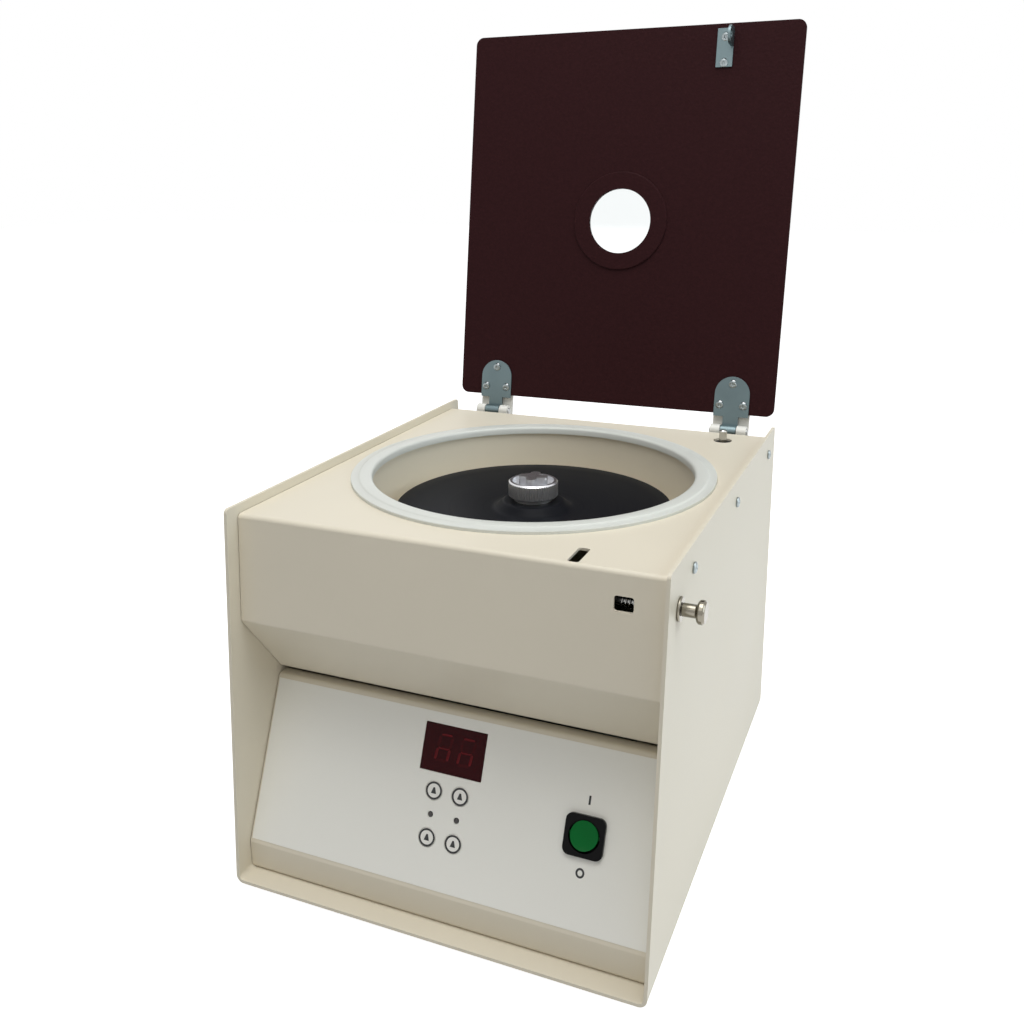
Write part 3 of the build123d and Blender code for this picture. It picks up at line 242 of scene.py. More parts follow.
def rounded_copy(node, material, body, slot, edge, name=None, angle=32.0, segments=2):
    """A copy of a CAD solid whose sharp edges are rounded, which stands for that solid."""
    shape = bmesh.new()
    shape.from_mesh(frame["nodes"][node].data)
    bmesh.ops.remove_doubles(shape, verts=shape.verts, dist=2e-6)
    bmesh.ops.dissolve_limit(shape, angle_limit=radians(0.4), verts=shape.verts, edges=shape.edges)
    mesh = bpy.data.meshes.new(name or node + "_finished")
    shape.to_mesh(mesh)
    shape.free()
    mesh.materials.clear()
    mesh.materials.append(material)
    mesh.polygons.foreach_set("use_smooth", [True] * len(mesh.polygons))
    piece = bpy.data.objects.new(name or node + "_finished", mesh)
    scene.collection.objects.link(piece)
    bevel = piece.modifiers.new("edge", "BEVEL")
    bevel.width = edge
    bevel.segments = segments
    bevel.limit_method = "ANGLE"
    bevel.angle_limit = radians(angle)
    even = piece.modifiers.new("normals", "WEIGHTED_NORMAL")
    even.weight = 100
    return finish(piece, body, slot, node)


def paint_node(node, material):
    """Gives a CAD node that keeps its own mesh a better material."""
    target = frame["nodes"][node]
    target.data.materials.clear()
    target.data.materials.append(material)


cream_coat = surfaced("cream_coat", coat_group, color=linear(224, 216, 197), roughness=0.42, cloud_depth=0.06,
                      settings=(("Specular IOR Level", 0.35),))
sheet_edge = 0.00035
for node in ("case_wrap", "deck_hood", "control_panel", "rear_panel"):
    rounded_copy(node, cream_coat, "base", "cream_paint", sheet_edge)
pale_coat = surfaced("pale_coat", coat_group, color=linear(231, 230, 223), roughness=0.4, cloud_depth=0.06)
rounded_copy("hinge_brackets", pale_coat, "base", "cream_paint", sheet_edge)

# Bowl: spun from sheet and coated in the same cream, which looks yellower in its shade.
# Its mouth turns out over the deck, where the gasket sits.
bowl_coat = surfaced("bowl_coat", coat_group, color=linear(236, 227, 206), roughness=0.38, peel_scale=700.0)
rounded_copy("bowl", bowl_coat, "base", "cream_paint", edge=0.0002)

# Panel film: matt printed polyester over the slanted face, faintly greenish white.
# It is glued down and is trimmed a little short of the folds.
film_coat = surfaced("film_coat", coat_group, depth=0.00001, color=linear(242, 241, 233), roughness=0.5,
                     peel_scale=2600.0, cloud_depth=0.02)
paint_node("panel_film", film_coat)

# Lid: flat steel plate in a dark maroon coat with a coarse leather-like wrinkle.
# The ring round the view hole is coated with it, and holds a clear pane.
maroon_coat = surfaced("maroon_coat", coat_group, depth=0.0004, color=linear(48, 24, 26), roughness=0.52,
                       peel_scale=520.0, cloud_scale=380.0, cloud_depth=0.4,
                       settings=(("Specular IOR Level", 0.05),))
rounded_copy("lid_plate", maroon_coat, "lid", "maroon_paint", edge=0.0004)
rounded_copy("window_ring", maroon_coat, "lid", "maroon_paint", edge=0.0003)
clear = surfaced("clear_sheet", coat_group, depth=0.000004, color=(0.93, 0.96, 0.96, 1), roughness=0.06,
                 peel_scale=300.0, cloud_depth=0.01,
                 settings=(("Transmission Weight", 1.0), ("IOR", 1.49)))
rounded_copy("window_pane", clear, "lid", "clear_pane", edge=0.0002)


# Screws: pan heads with a cross recess, bright zinc, one mesh for each size.
# Geometry nodes stand a copy on each screw's place, turned a little differently every time.
def solid(name, points, faces, material, place=Matrix()):
    """An object from points in a local frame, which place carries into the shared frame."""
    mesh = bpy.data.meshes.new(name)
    mesh.from_pydata([place @ Vector(point) for point in points], [], faces)
    mesh.materials.append(material)
    mesh.polygons.foreach_set("use_smooth", [True] * len(mesh.polygons))
    mesh.set_sharp_from_angle(angle=radians(35))
    piece = bpy.data.objects.new(name, mesh)
    scene.collection.objects.link(piece)
    return piece


def turned(name, profile, material, place=Matrix(), steps=64):
    """A piece turned about the local Z axis, from (radius, height) points up its outside or round its wall."""
    points, rings = [], []
    for radius, height in profile:
        count = steps if radius else 1
        rings.append(range(len(points), len(points) + count))
        points += [(radius * cos(2 * pi * i / steps), radius * sin(2 * pi * i / steps), height)
                   for i in range(count)]
    faces = []
    for low, high in zip(rings, rings[1:]):
        for i in range(steps):
            j = (i + 1) % steps
            if len(low) == 1:
                faces.append((low[0], high[j], high[i]))
            elif len(high) == 1:
                faces.append((low[i], low[j], high[0]))
            else:
                faces.append((low[i], low[j], high[j], high[i]))
    return solid(name, points, faces, material, place)


def prism(name, outline, low, high, material, place=Matrix(), shrink=1.0):
    """A flat piece on the local XY plane, its top outline shrunk towards the origin by a share."""
    count = len(outline)
    points = [(x, y, low) for x, y in outline] + [(x * shrink, y * shrink, high) for x, y in outline]
    faces = [tuple(range(count - 1, -1, -1)), tuple(range(count, 2 * count))]
    faces += [(i, (i + 1) % count, count + (i + 1) % count, count + i) for i in range(count)]
    return solid(name, points, faces, material, place)


def made_mesh(piece):
    """The mesh that a piece's modifiers give, put in place of its own mesh and modifiers."""
    evaluated = piece.evaluated_get(bpy.context.evaluated_depsgraph_get())
    mesh = bpy.data.meshes.new_from_object(evaluated)
    piece.modifiers.clear()
    piece.data = mesh
    return piece


def islands(node):
    """The separate solids of a CAD node, each as the list of its points, in a steady order."""
    shape = bmesh.new()
    shape.from_mesh(frame["nodes"][node].data)
    bmesh.ops.remove_doubles(shape, verts=shape.verts, dist=2e-6)
    left = set(shape.verts)
    found = []
    while left:
        grow = [left.pop()]
        points = []
        while grow:
            vertex = grow.pop()
            points.append(vertex.co.copy())
            near = [edge.other_vert(vertex) for edge in vertex.link_edges]
            near = [other for other in near if other in left]
            left.difference_update(near)
            grow += near
        found.append(points)
    shape.free()
    return sorted(found, key=lambda points: [round(min(p[axis] for p in points), 5) for axis in (2, 0, 1)])


def tip(points, out):
    """The middle of a solid's end face, the one that lies furthest along out."""
    reach = max(point.dot(out) for point in points)
    face = [point for point in points if point.dot(out) > reach - 1e-5]
    return sum(face, Vector()) / len(face)


def end_of(node, out):
    """The middle of the face of a CAD node that lies furthest along out."""
    return tip([vertex.co for vertex in frame["nodes"][node].data.vertices], out)


def upright(origin, out, across=Vector((1, 0, 0))):
    """A frame at origin with its Z along out and its X as near to across as that allows."""
    side = out.cross(across).normalized()
    return Matrix.Translation(origin) @ Matrix((side.cross(out), side, out)).transposed().to_4x4()


def screw_head(name, material, head, height, shank, length):
    """A pan-head screw whose top is at the origin, with a cross recess cut into it."""
    arcs, skin = 6, 0.00002
    angles = [pi / 2 * i / arcs for i in range(arcs, 0, -1)]
    dome = [(head * sin(a), -height * 0.5 * (1 - cos(a)) - skin) for a in angles]
    end, point = -height - length, 0.0003
    profile = [(0, end), (shank * 0.8, end), (shank, end + point),
               (shank, -height), (head * 0.96, -height), (head, -height * 0.9)] + dome + [(0, 0)]
    piece = turned(name, profile, material, steps=40)
    bars = []
    wide, narrow, slit, depth = head * 0.6, head * 0.22, head * 0.17, height * 0.75
    outline = [(wide, slit), (-wide, slit), (-wide, -slit), (wide, -slit)]
    bottom = [(x * narrow / wide, y * 0.6) for x, y in outline]
    flare, above = 1.1, 0.0002
    for turn in (0, pi / 2):
        turned_way = Matrix.Rotation(turn, 4, "Z")
        bars.append(prism("recess", bottom, -depth, -depth + 1e-6, material, turned_way))
        for vertex, (x, y) in zip(list(bars[-1].data.vertices)[4:], outline):
            vertex.co = turned_way @ Vector((x * flare, y * flare, above))
    for bar in bars:
        cut = piece.modifiers.new("recess", "BOOLEAN")
        cut.operation = "DIFFERENCE"
        cut.solver = "EXACT"
        cut.object = bar
    made_mesh(piece)
    for bar in bars:
        bpy.data.objects.remove(bar)
    return piece


def node_tree(name, inputs):
    """An empty geometry node group with its inputs after the geometry, and its two end nodes."""
    tree = bpy.data.node_groups.new(name, "GeometryNodeTree")
    tree.interface.new_socket("Geometry", in_out="INPUT", socket_type="NodeSocketGeometry")
    for label, kind in inputs:
        tree.interface.new_socket(label, in_out="INPUT", socket_type="NodeSocket" + kind)
    tree.interface.new_socket("Geometry", in_out="OUTPUT", socket_type="NodeSocketGeometry")
    return tree, tree.nodes.new("NodeGroupInput"), tree.nodes.new("NodeGroupOutput")


def grown(piece, tree, **values):
    """Runs a geometry node group on a piece with its named inputs set, and keeps the result."""
    modifier = piece.modifiers.new(tree.name, "NODES")
    modifier.node_group = tree
    for item in tree.interface.items_tree:
        key = item.name.replace(" ", "_").lower()
        if item.in_out == "INPUT" and key in values:
            modifier[item.identifier] = values[key]
    return made_mesh(piece)


# Each point of the piece carries the way its screw looks out, in the attribute called out.
screw_tree, given, made = node_tree(
    "standing_screws", (("Screw", "Object"), ("Seed", "Int"), ("Finish", "Material")))
looks = add(screw_tree, "GeometryNodeInputNamedAttribute", data_type="FLOAT_VECTOR")
looks.inputs["Name"].default_value = "out"
stand = add(screw_tree, "FunctionNodeAlignRotationToVector", axis="Z")
spin = add(screw_tree, "FunctionNodeRandomValue", data_type="FLOAT")
turn_axis = add(screw_tree, "FunctionNodeAxisAngleToRotation")
turn_axis.inputs["Axis"].default_value = (0, 0, 1)
both_turns = add(screw_tree, "FunctionNodeRotateRotation", rotation_space="LOCAL")
source = add(screw_tree, "GeometryNodeObjectInfo")
copies = add(screw_tree, "GeometryNodeInstanceOnPoints")
real = add(screw_tree, "GeometryNodeRealizeInstances")
dressed = add(screw_tree, "GeometryNodeSetMaterial")
spin.inputs["Max"].default_value = pi / 2
linked(screw_tree, (looks, "Attribute", stand, "Vector"), (given, "Seed", spin, "Seed"),
       (spin, "Value", turn_axis, "Angle"), (stand, "Rotation", both_turns, "Rotation"),
       (turn_axis, "Rotation", both_turns, "Rotate By"), (given, "Screw", source, "Object"),
       (given, "Geometry", copies, "Points"), (source, "Geometry", copies, "Instance"),
       (both_turns, "Rotation", copies, "Rotation"), (copies, "Instances", real, "Geometry"),
       (real, "Geometry", dressed, "Geometry"), (given, "Finish", dressed, "Material"),
       (dressed, "Geometry", made, "Geometry"))

all_metal = (("Metallic", 1.0),)
zinc = surfaced("bright_zinc", coat_group, depth=0.00001, color=linear(150, 158, 160), roughness=0.3,
                peel_scale=1500.0, cloud_depth=0.25, settings=all_metal)
joint_axis = {joint["name"]: Vector(joint["axis"]) for joint in frame["joints"]}
panel_out = -joint_axis["key_1_press"]
lid_lean = radians(8.6)
lid_out = Vector((0, -cos(lid_lean), -sin(lid_lean)))
rear_run = 16.5
rear_rise = 236.0
rear_lean = atan2(rear_run, rear_rise)
rear_out = Vector((0, cos(rear_lean), sin(rear_lean)))
down = Vector((0, 0, -1))
case_screw = screw_head("case_screw", zinc, head=0.0032, height=0.0019, shank=0.0015, length=0.008)
small_screw = screw_head("small_screw", zinc, head=0.0029, height=0.0012, shank=0.0015, length=0.003)
screw_list = (
    ("side_screws", "base", case_screw, None), ("base_screws", "base", case_screw, down),
    ("foot_screws", "base", case_screw, down), ("motor_screws", "base", case_screw, down),
    ("bracket_screws", "base", case_screw, rear_out), ("inlet_screws", "base", case_screw, rear_out),
    ("leaf_screws", "lid", small_screw, lid_out), ("striker_screws", "lid", small_screw, lid_out),
)
for seed, (node, body, sample, out) in enumerate(screw_list, start=1):
    tips, ways = [], []
    for points in islands(node):
        way = out or Vector((1 if points[0].x > 0 else -1, 0, 0))
        tips.append(tip(points, way))
        ways.append(way)
    piece = solid(node + "_cross", tips, [], zinc)
    looks_out = piece.data.attributes.new("out", "FLOAT_VECTOR", "POINT")
    looks_out.data.foreach_set("vector", [value for way in ways for value in way])
    grown(piece, screw_tree, screw=sample, seed=seed, finish=zinc)
    finish(piece, body, "zinc", node)
bpy.data.objects.remove(case_screw)
bpy.data.objects.remove(small_screw)


# Gasket: an extruded silicone ring, milky and soft-edged, pressed over the bowl's turned-out rim.
# Its lip hangs into the mouth, so the lid closes on it and the bowl stays shut.
silicone = surfaced("milky_silicone", coat_group, depth=0.00003, color=linear(226, 228, 221), roughness=0.34,
                    peel_scale=260.0, cloud_scale=40.0, cloud_depth=0.08,
                    settings=(("Transmission Weight", 0.15), ("IOR", 1.4), ("Specular IOR Level", 0.35)))
gasket_low, gasket_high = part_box("bowl_gasket")
bowl_low, bowl_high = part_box("bowl")
gasket_bore = 0.1038
lip_wall = 0.00165
flange_sheet = 0.0015
clearance = 0.00003
overhang = 0.0006
lip_end = gasket_low.z - gasket_high.z
flange_edge = (bowl_high.x - bowl_low.x) / 2
over_flange = bowl_high.z + clearance - gasket_high.z
deck_level = over_flange - flange_sheet
# The profile is given from the gasket's top: down the lip, round the flange and back over the soft top.
gasket_line = [
    (gasket_bore, lip_end), (gasket_bore + lip_wall, lip_end),
    (gasket_bore + lip_wall, over_flange), (flange_edge + clearance, over_flange),
    (flange_edge + clearance, deck_level), (flange_edge + overhang, deck_level),
    (flange_edge + overhang, -0.0013), (flange_edge + 0.0003, -0.0009), (flange_edge - 0.004, -0.0007),
    (flange_edge - 0.0044, -0.0005), (flange_edge - 0.0048, -0.00015), (flange_edge - 0.0055, 0),
    (gasket_bore + 0.0022, 0), (gasket_bore + 0.0011, -0.0002), (gasket_bore + 0.0004, -0.0007),
    (gasket_bore, -0.0016), (gasket_bore, lip_end)]
over_bowl = Vector(((bowl_low.x + bowl_high.x) / 2, (bowl_low.y + bowl_high.y) / 2, gasket_high.z))
ring = turned("gasket_ring", gasket_line, silicone, Matrix.Translation(over_bowl), steps=160)
finish(ring, "base", "clear_rubber", "bowl_gasket")


# Rotor cover: a spun disc with a raised middle, black and satin, with the lathe's fine rings in it.
# It lies loose on the rotor's rim and is held down by the nut.
turned_group, given, made = group(
    "turned_metal", (("Color", "c", (0.8, 0.8, 0.8, 1)), ("Centre", "v", (0, 0, 0)), ("Axis", "v", (0, 0, 1)),
                     ("Ring Scale", "f", 2500.0), ("Ring Depth", "f", 0.12), ("Roughness", "f", 0.3)),
    (("Color", "c"), ("Roughness", "f"), ("Height", "f")))
place = add(turned_group, "ShaderNodeTexCoord")
offset = add(turned_group, "ShaderNodeVectorMath", operation="SUBTRACT")
lengthwise = add(turned_group, "ShaderNodeVectorMath", operation="DOT_PRODUCT")
on_axis = add(turned_group, "ShaderNodeVectorMath", operation="SCALE")
outward = add(turned_group, "ShaderNodeVectorMath", operation="SUBTRACT")
far = add(turned_group, "ShaderNodeVectorMath", operation="LENGTH")
flat = add(turned_group, "ShaderNodeCombineXYZ")
rings = add(turned_group, "ShaderNodeTexNoise", noise_dimensions="2D", detail=3.0, roughness=0.6)
linked(turned_group, (place, "Object", offset, 0), (given, "Centre", offset, 1),
       (offset, "Vector", lengthwise, 0), (given, "Axis", lengthwise, 1), (given, "Axis", on_axis, 0),
       (lengthwise, "Value", on_axis, "Scale"), (offset, "Vector", outward, 0),
       (on_axis, "Vector", outward, 1), (outward, "Vector", far, 0), (far, "Value", flat, "X"),
       (lengthwise, "Value", flat, "Y"), (flat, "Vector", rings, "Vector"),
       (given, "Ring Scale", rings, "Scale"), (rings, "Fac", made, "Height"))
toned(turned_group, given, made, rings.outputs["Fac"], "Ring Depth", gloss=0.1)


def middle(node):
    """The middle of a CAD node's box."""
    low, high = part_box(node)
    return (low + high) / 2


rotor_centre = middle("rotor_cover")
black_satin = surfaced("black_satin", turned_group, depth=0.000004, color=linear(20, 21, 25),
                       centre=rotor_centre, ring_scale=1400.0, ring_depth=0.3, roughness=0.42,
                       settings=(("Specular IOR Level", 0.05),))
# The profile is in millimetres from the top of the cover's boss.
cover_line = [
    (8.05, -1.5), (19.5, -1.5), (20.5, -1.9), (24.0, -5.3), (27.0, -6.45), (80.0, -4.5), (89.05, -4.5),
    (89.05, -8.5), (90.5, -8.5), (90.5, -3.5), (90.3, -3.15), (89.7, -3.0), (80.0, -3.0), (32.0, -4.7),
    (28.5, -4.78), (26.6, -4.7), (25.2, -4.35), (24.0, -3.65), (22.5, -2.5), (20.9, -1.1), (20.2, -0.55),
    (19.5, -0.15), (18.6, 0), (8.05, 0), (8.05, -1.5)]
cover_spot = Vector((rotor_centre.x, rotor_centre.y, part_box("rotor_cover")[1].z))
disc = turned("spun_cover", [(radius / 1000, height / 1000) for radius, height in cover_line], black_satin,
              Matrix.Translation(cover_spot), steps=160)
finish(disc, "cover", "black_metal", "rotor_cover")

# Rotor: turned aluminium plate with milled slots for the tubes, on a steel spindle and hub.
# A ring of rubber along its rim closes the ends of the tubes.
rubber = surfaced("black_rubber", coat_group, depth=0.00003, color=linear(38, 38, 39), roughness=0.72,
                  peel_scale=1800.0, cloud_depth=0.2, settings=(("Specular IOR Level", 0.3),))
light_metal = surfaced("turned_aluminium", turned_group, depth=0.000005, color=linear(196, 197, 200),
                       centre=rotor_centre, ring_depth=0.2, roughness=0.32, settings=all_metal)
steel = surfaced("turned_steel", turned_group, depth=0.000003, color=linear(170, 170, 168),
                 centre=rotor_centre, ring_scale=3200.0, ring_depth=0.18, roughness=0.26, settings=all_metal)
rounded_copy("rotor_plate", light_metal, "rotor", "aluminium", edge=0.00015)
rounded_copy("rim_gasket", rubber, "rotor", "black_rubber", edge=0.0003)
rounded_copy("spindle", steel, "rotor", "steel", edge=0.0003)
rounded_copy("drive_hub", steel, "rotor", "steel", edge=0.0003)

# Nut: knurled and chrome plated, with a four-lobed grip in its recess.
# A steel ring below the cover keeps it there when it is loose.
chrome = surfaced("chrome_plate", turned_group, depth=0.000001, color=linear(222, 222, 224),
                  centre=rotor_centre, ring_scale=900.0, ring_depth=0.05, roughness=0.3, settings=all_metal)
rounded_copy("cover_nut", chrome, "nut", "chrome", edge=0.00012)
rounded_copy("nut_retainer", steel, "nut", "steel", edge=0.0002)

# Hinges: stamped leaves in dull bluish zinc, screwed to the lid, on steel pins.
# The brackets behind them are bolted to the rear panel and coated like the case.
dull_zinc = surfaced("dull_zinc", coat_group, depth=0.00001, color=linear(106, 121, 124), roughness=0.42,
                     peel_scale=1300.0, cloud_scale=60.0, cloud_depth=0.3, settings=all_metal)
pin_steel = surfaced("pin_steel", turned_group, depth=0.000003, color=linear(168, 168, 166),
                     centre=middle("hinge_pins"), axis=(1, 0, 0), roughness=0.3, settings=all_metal)
rounded_copy("hinge_leaves", dull_zinc, "lid", "zinc", edge=0.0002)
rounded_copy("hinge_pins", pin_steel, "base", "steel", edge=0.0003)

# Latch: a bent striker on the lid drops through the deck and is caught by a pin on the sliding rod.
# Pressed zinc-plated housing, steel slider and rod, and a nickel-plated knob outside the case.
rod_centre = middle("latch_rod")
nickel = surfaced("nickel_plate", turned_group, depth=0.000002, color=linear(134, 129, 117),
                  centre=rod_centre, axis=(1, 0, 0), ring_scale=2200.0, ring_depth=0.1, roughness=0.16,
                  settings=all_metal)
rod_steel = surfaced("rod_steel", turned_group, depth=0.000003, color=linear(172, 172, 170),
                     centre=rod_centre, axis=(1, 0, 0), ring_scale=3000.0, roughness=0.25, settings=all_metal)
rounded_copy("latch_striker", dull_zinc, "lid", "zinc", edge=0.0002)
rounded_copy("latch_housing", zinc, "base", "zinc", edge=0.0002)
rounded_copy("latch_slider", rod_steel, "latch", "steel", edge=0.0002)
rounded_copy("latch_rod", rod_steel, "latch", "steel", edge=0.0003)
rounded_copy("latch_bush", nickel, "base", "chrome", edge=0.0003)
rounded_copy("latch_knob", nickel, "latch", "chrome", edge=0.0004, segments=3)

# Latch spring: round steel wire wound on the rod, between the slider and the housing.
# Geometry nodes wind it: a spiral along X with a round section, its wire capped at both ends.
coil_tree, given, made = node_tree(
    "wound_spring", (("Turns", "Float"), ("Coil Radius", "Float"), ("Wire Radius", "Float"),
                     ("Length", "Float"), ("Finish", "Material")))
spiral = add(coil_tree, "GeometryNodeCurveSpiral")
spiral.inputs["Resolution"].default_value = 28
section = add(coil_tree, "GeometryNodeCurvePrimitiveCircle")
section.inputs["Resolution"].default_value = 12
wire = add(coil_tree, "GeometryNodeCurveToMesh")
wire.inputs["Fill Caps"].default_value = True
real = add(coil_tree, "GeometryNodeRealizeInstances")
dressed = add(coil_tree, "GeometryNodeSetMaterial")
linked(coil_tree, (given, "Turns", spiral, "Rotations"), (given, "Coil Radius", spiral, "Start Radius"),
       (given, "Coil Radius", spiral, "End Radius"), (given, "Length", spiral, "Height"),
       (given, "Wire Radius", section, "Radius"), (spiral, "Curve", wire, "Curve"),
       (section, "Curve", wire, "Profile Curve"), (wire, "Mesh", real, "Geometry"),
       (real, "Geometry", dressed, "Geometry"), (given, "Finish", dressed, "Material"),
       (dressed, "Geometry", made, "Geometry"))
wire_radius = 0.0005
spring_turns = 8.0
spring_low, spring_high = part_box("latch_spring")
spring_middle = middle("latch_spring")
spring_length = spring_high.x - spring_low.x
spring = solid("spring_wire", [], [], rod_steel)
coil_radius = (spring_high.z - spring_low.z) / 2 - wire_radius - clearance
grown(spring, coil_tree, turns=spring_turns, coil_radius=coil_radius,
      wire_radius=wire_radius, length=spring_length - 2 * wire_radius, finish=rod_steel)
spring_start = Vector((spring_low.x + wire_radius, spring_middle.y, spring_middle.z))
spring.data.transform(Matrix.Translation(spring_start) @ Matrix.Rotation(pi / 2, 4, "Y"))
spring.data.polygons.foreach_set("use_smooth", [True] * len(spring.data.polygons))
finish(spring, "base", "steel", "latch_spring")

# Lid switch: a moulded black switch under the deck, with a plated plunger that the lid presses.
# The plunger stands in a round hole of the deck below the right hinge.
black_plastic = surfaced("black_plastic", coat_group, depth=0.00001, color=linear(32, 32, 33), roughness=0.42,
                         peel_scale=1600.0, cloud_depth=0.12, settings=(("Specular IOR Level", 0.25),))
plunger_metal = surfaced("plunger_metal", turned_group, depth=0.000002, color=linear(176, 175, 170),
                         centre=middle("switch_plunger"), ring_scale=2200.0, roughness=0.18,
                         settings=all_metal)
rounded_copy("lid_switch", black_plastic, "base", "black_plastic", edge=0.0003)
rounded_copy("switch_plunger", plunger_metal, "plunger", "chrome", edge=0.0003, segments=3)


# Keys: four moulded light caps with a printed dark ring and a small up mark.
# Each print is a thin layer of ink that moves with its key.
def band(name, inner, outer, low, high, material, place=Matrix()):
    """A flat closed ring between two outlines with as many points each."""
    count = len(outer)
    points = [(x, y, z) for z in (low, high) for line in (outer, inner) for x, y in line]
    faces = []
    for i in range(count):
        j = (i + 1) % count
        faces += [(i, j, 2 * count + j, 2 * count + i), (count + j, count + i, 3 * count + i, 3 * count + j),
                  (2 * count + i, 2 * count + j, 3 * count + j, 3 * count + i), (j, i, count + i, count + j)]
    return solid(name, points, faces, material, place)


def oval(half_x, half_y, steps=48):
    """The points of an oval round the origin."""
    return [(half_x * cos(2 * pi * i / steps), half_y * sin(2 * pi * i / steps)) for i in range(steps)]


ink_layer = 0.00003
ink = surfaced("printed_ink", coat_group, depth=0.000004, color=linear(52, 52, 52), roughness=0.55,
               peel_scale=2600.0, cloud_depth=0.15, settings=(("Specular IOR Level", 0.3),))
cap_plastic = surfaced("cap_plastic", coat_group, depth=0.00001, color=linear(240, 238, 232), roughness=0.5,
                       peel_scale=2200.0, cloud_depth=0.04)
ring_inside = 0.0040
ring_outside = 0.00515
up_mark = [(-0.0017, -0.0017), (0.0017, -0.0017), (0.0005, 0.0019), (-0.0005, 0.0019)]
for key in ("key_1", "key_2", "key_3", "key_4"):
    rounded_copy(key, cap_plastic, key, "key_cap", 0.00015)
    cap = end_of(key, panel_out)
    key_place = upright(cap, panel_out)
    edge = band(key + "_ring", oval(ring_inside, ring_inside), oval(ring_outside, ring_outside), 0, ink_layer,
                ink, key_place)
    finish(edge, key, "black_plastic")
    mark = prism(key + "_mark", up_mark, 0, ink_layer, ink, key_place)
    finish(mark, key, "black_plastic")

# Display: a smoked red filter in the panel, with two digits of seven pale segments behind it.
# The digits are off and just show through the filter.
smoked = surfaced("smoked_filter", coat_group, depth=0.000003, color=(0.14, 0.012, 0.018, 1), roughness=0.1,
                  peel_scale=400.0, cloud_depth=0.02,
                  settings=(("Transmission Weight", 0.75), ("IOR", 1.18), ("Specular IOR Level", 0.2)))
segment_red = surfaced("segment_red", coat_group, depth=0.000005, color=linear(250, 190, 180), roughness=0.5,
                       peel_scale=2000.0, cloud_depth=0.1)
rounded_copy("display_window", smoked, "base", "smoked_pane", edge=0.0002)
rounded_copy("display_module", black_plastic, "base", "black_plastic", edge=0.0002)
paint_node("display_segments", segment_red)

# Lamps: two small moulded lenses in the panel, dark while they are off.
# Each has a flange behind the sheet and a low dome in front.
lamp_lens = surfaced("lamp_lens", coat_group, depth=0.000004, color=linear(46, 40, 40), roughness=0.3,
                     peel_scale=500.0, cloud_depth=0.2)
rounded_copy("led_lamps", lamp_lens, "base", "red_lens", edge=0.0002, segments=3)

# Power switch: a glossy black moulded bezel that snaps into the panel, and a green rocker in it.
# The marks beside it are printed on the film: I above it and O below.
gloss_black = surfaced("gloss_black", coat_group, depth=0.000004, color=linear(9, 8, 9), roughness=0.14,
                       peel_scale=300.0, cloud_depth=0.1, settings=(("Specular IOR Level", 0.1),))
green_lens = surfaced("green_lens", coat_group, depth=0.000003, color=linear(4, 104, 44), roughness=0.14,
                      peel_scale=260.0, cloud_scale=60.0, cloud_depth=0.2,
                      settings=(("Specular IOR Level", 0.08),))
rounded_copy("switch_bezel", gloss_black, "base", "black_plastic", edge=0.0005, segments=3)
rounded_copy("power_rocker", green_lens, "rocker", "green_lens", edge=0.0004, segments=3)
film_top = end_of("panel_film", panel_out)
switch_spot = end_of("switch_bezel", panel_out)
switch_spot -= panel_out * (switch_spot - film_top).dot(panel_out)
mark_above = 0.0192
mark_below = -0.0199
on_mark = [(-0.0006, -0.0025), (0.0006, -0.0025), (0.0006, 0.0025), (-0.0006, 0.0025)]
off_inside = oval(0.0014, 0.0016)
off_outside = oval(0.00255, 0.00275)
switch_frame = upright(switch_spot, panel_out)
place = switch_frame @ Matrix.Translation((0, mark_above, 0))
finish(prism("mark_on", on_mark, 0, ink_layer, ink, place), "base", "black_plastic")
place = switch_frame @ Matrix.Translation((0, mark_below, 0))
finish(band("mark_off", off_inside, off_outside, 0, ink_layer, ink, place), "base", "black_plastic")

# Motor and its mounting: a painted motor with its shaft up, bolted under a zinc-plated steel plate.
# The plate stands on rubber dampers on four posts, and a rubber boot closes the bowl round the hub.
motor_paint = surfaced("motor_paint", coat_group, depth=0.00005, color=linear(108, 112, 116), roughness=0.46,
                       peel_scale=700.0, cloud_depth=0.15)
post_steel = surfaced("post_steel", coat_group, depth=0.00001, color=linear(166, 166, 164), roughness=0.32,
                      peel_scale=1500.0, cloud_depth=0.2, settings=all_metal)
rounded_copy("drive_motor", motor_paint, "base", "motor_grey", edge=0.0006)
rounded_copy("motor_plate", zinc, "base", "zinc", edge=0.0004)
rounded_copy("motor_dampers", rubber, "base", "black_rubber", edge=0.0006)
rounded_copy("motor_posts", post_steel, "base", "steel", edge=0.0004)
rounded_copy("post_nuts", zinc, "base", "zinc", edge=0.0002)
rounded_copy("shaft_boot", rubber, "base", "black_rubber", edge=0.0005)

# Feet: moulded rubber, screwed on from below in a recess.
# They keep the case off the bench and take up the rotor's shake.
rounded_copy("feet", rubber, "base", "black_rubber", edge=0.0006, segments=3)

# Control board: green solder mask on glass cloth, standing behind the panel on white nylon pillars.
# The key switches are moulded black, and the display stands on the board.
board_mask = surfaced("board_mask", coat_group, depth=0.00002, color=linear(28, 104, 62), roughness=0.3,
                      peel_scale=500.0, cloud_scale=160.0, cloud_depth=0.6)
nylon = surfaced("nylon", coat_group, depth=0.00001, color=linear(226, 224, 214), roughness=0.45,
                 peel_scale=1200.0, cloud_depth=0.05)
rounded_copy("control_board", board_mask, "base", "board_green", edge=0.0001)
rounded_copy("board_standoffs", nylon, "base", "white_plastic", edge=0.0002)
rounded_copy("key_switches", black_plastic, "base", "black_plastic", edge=0.0002)

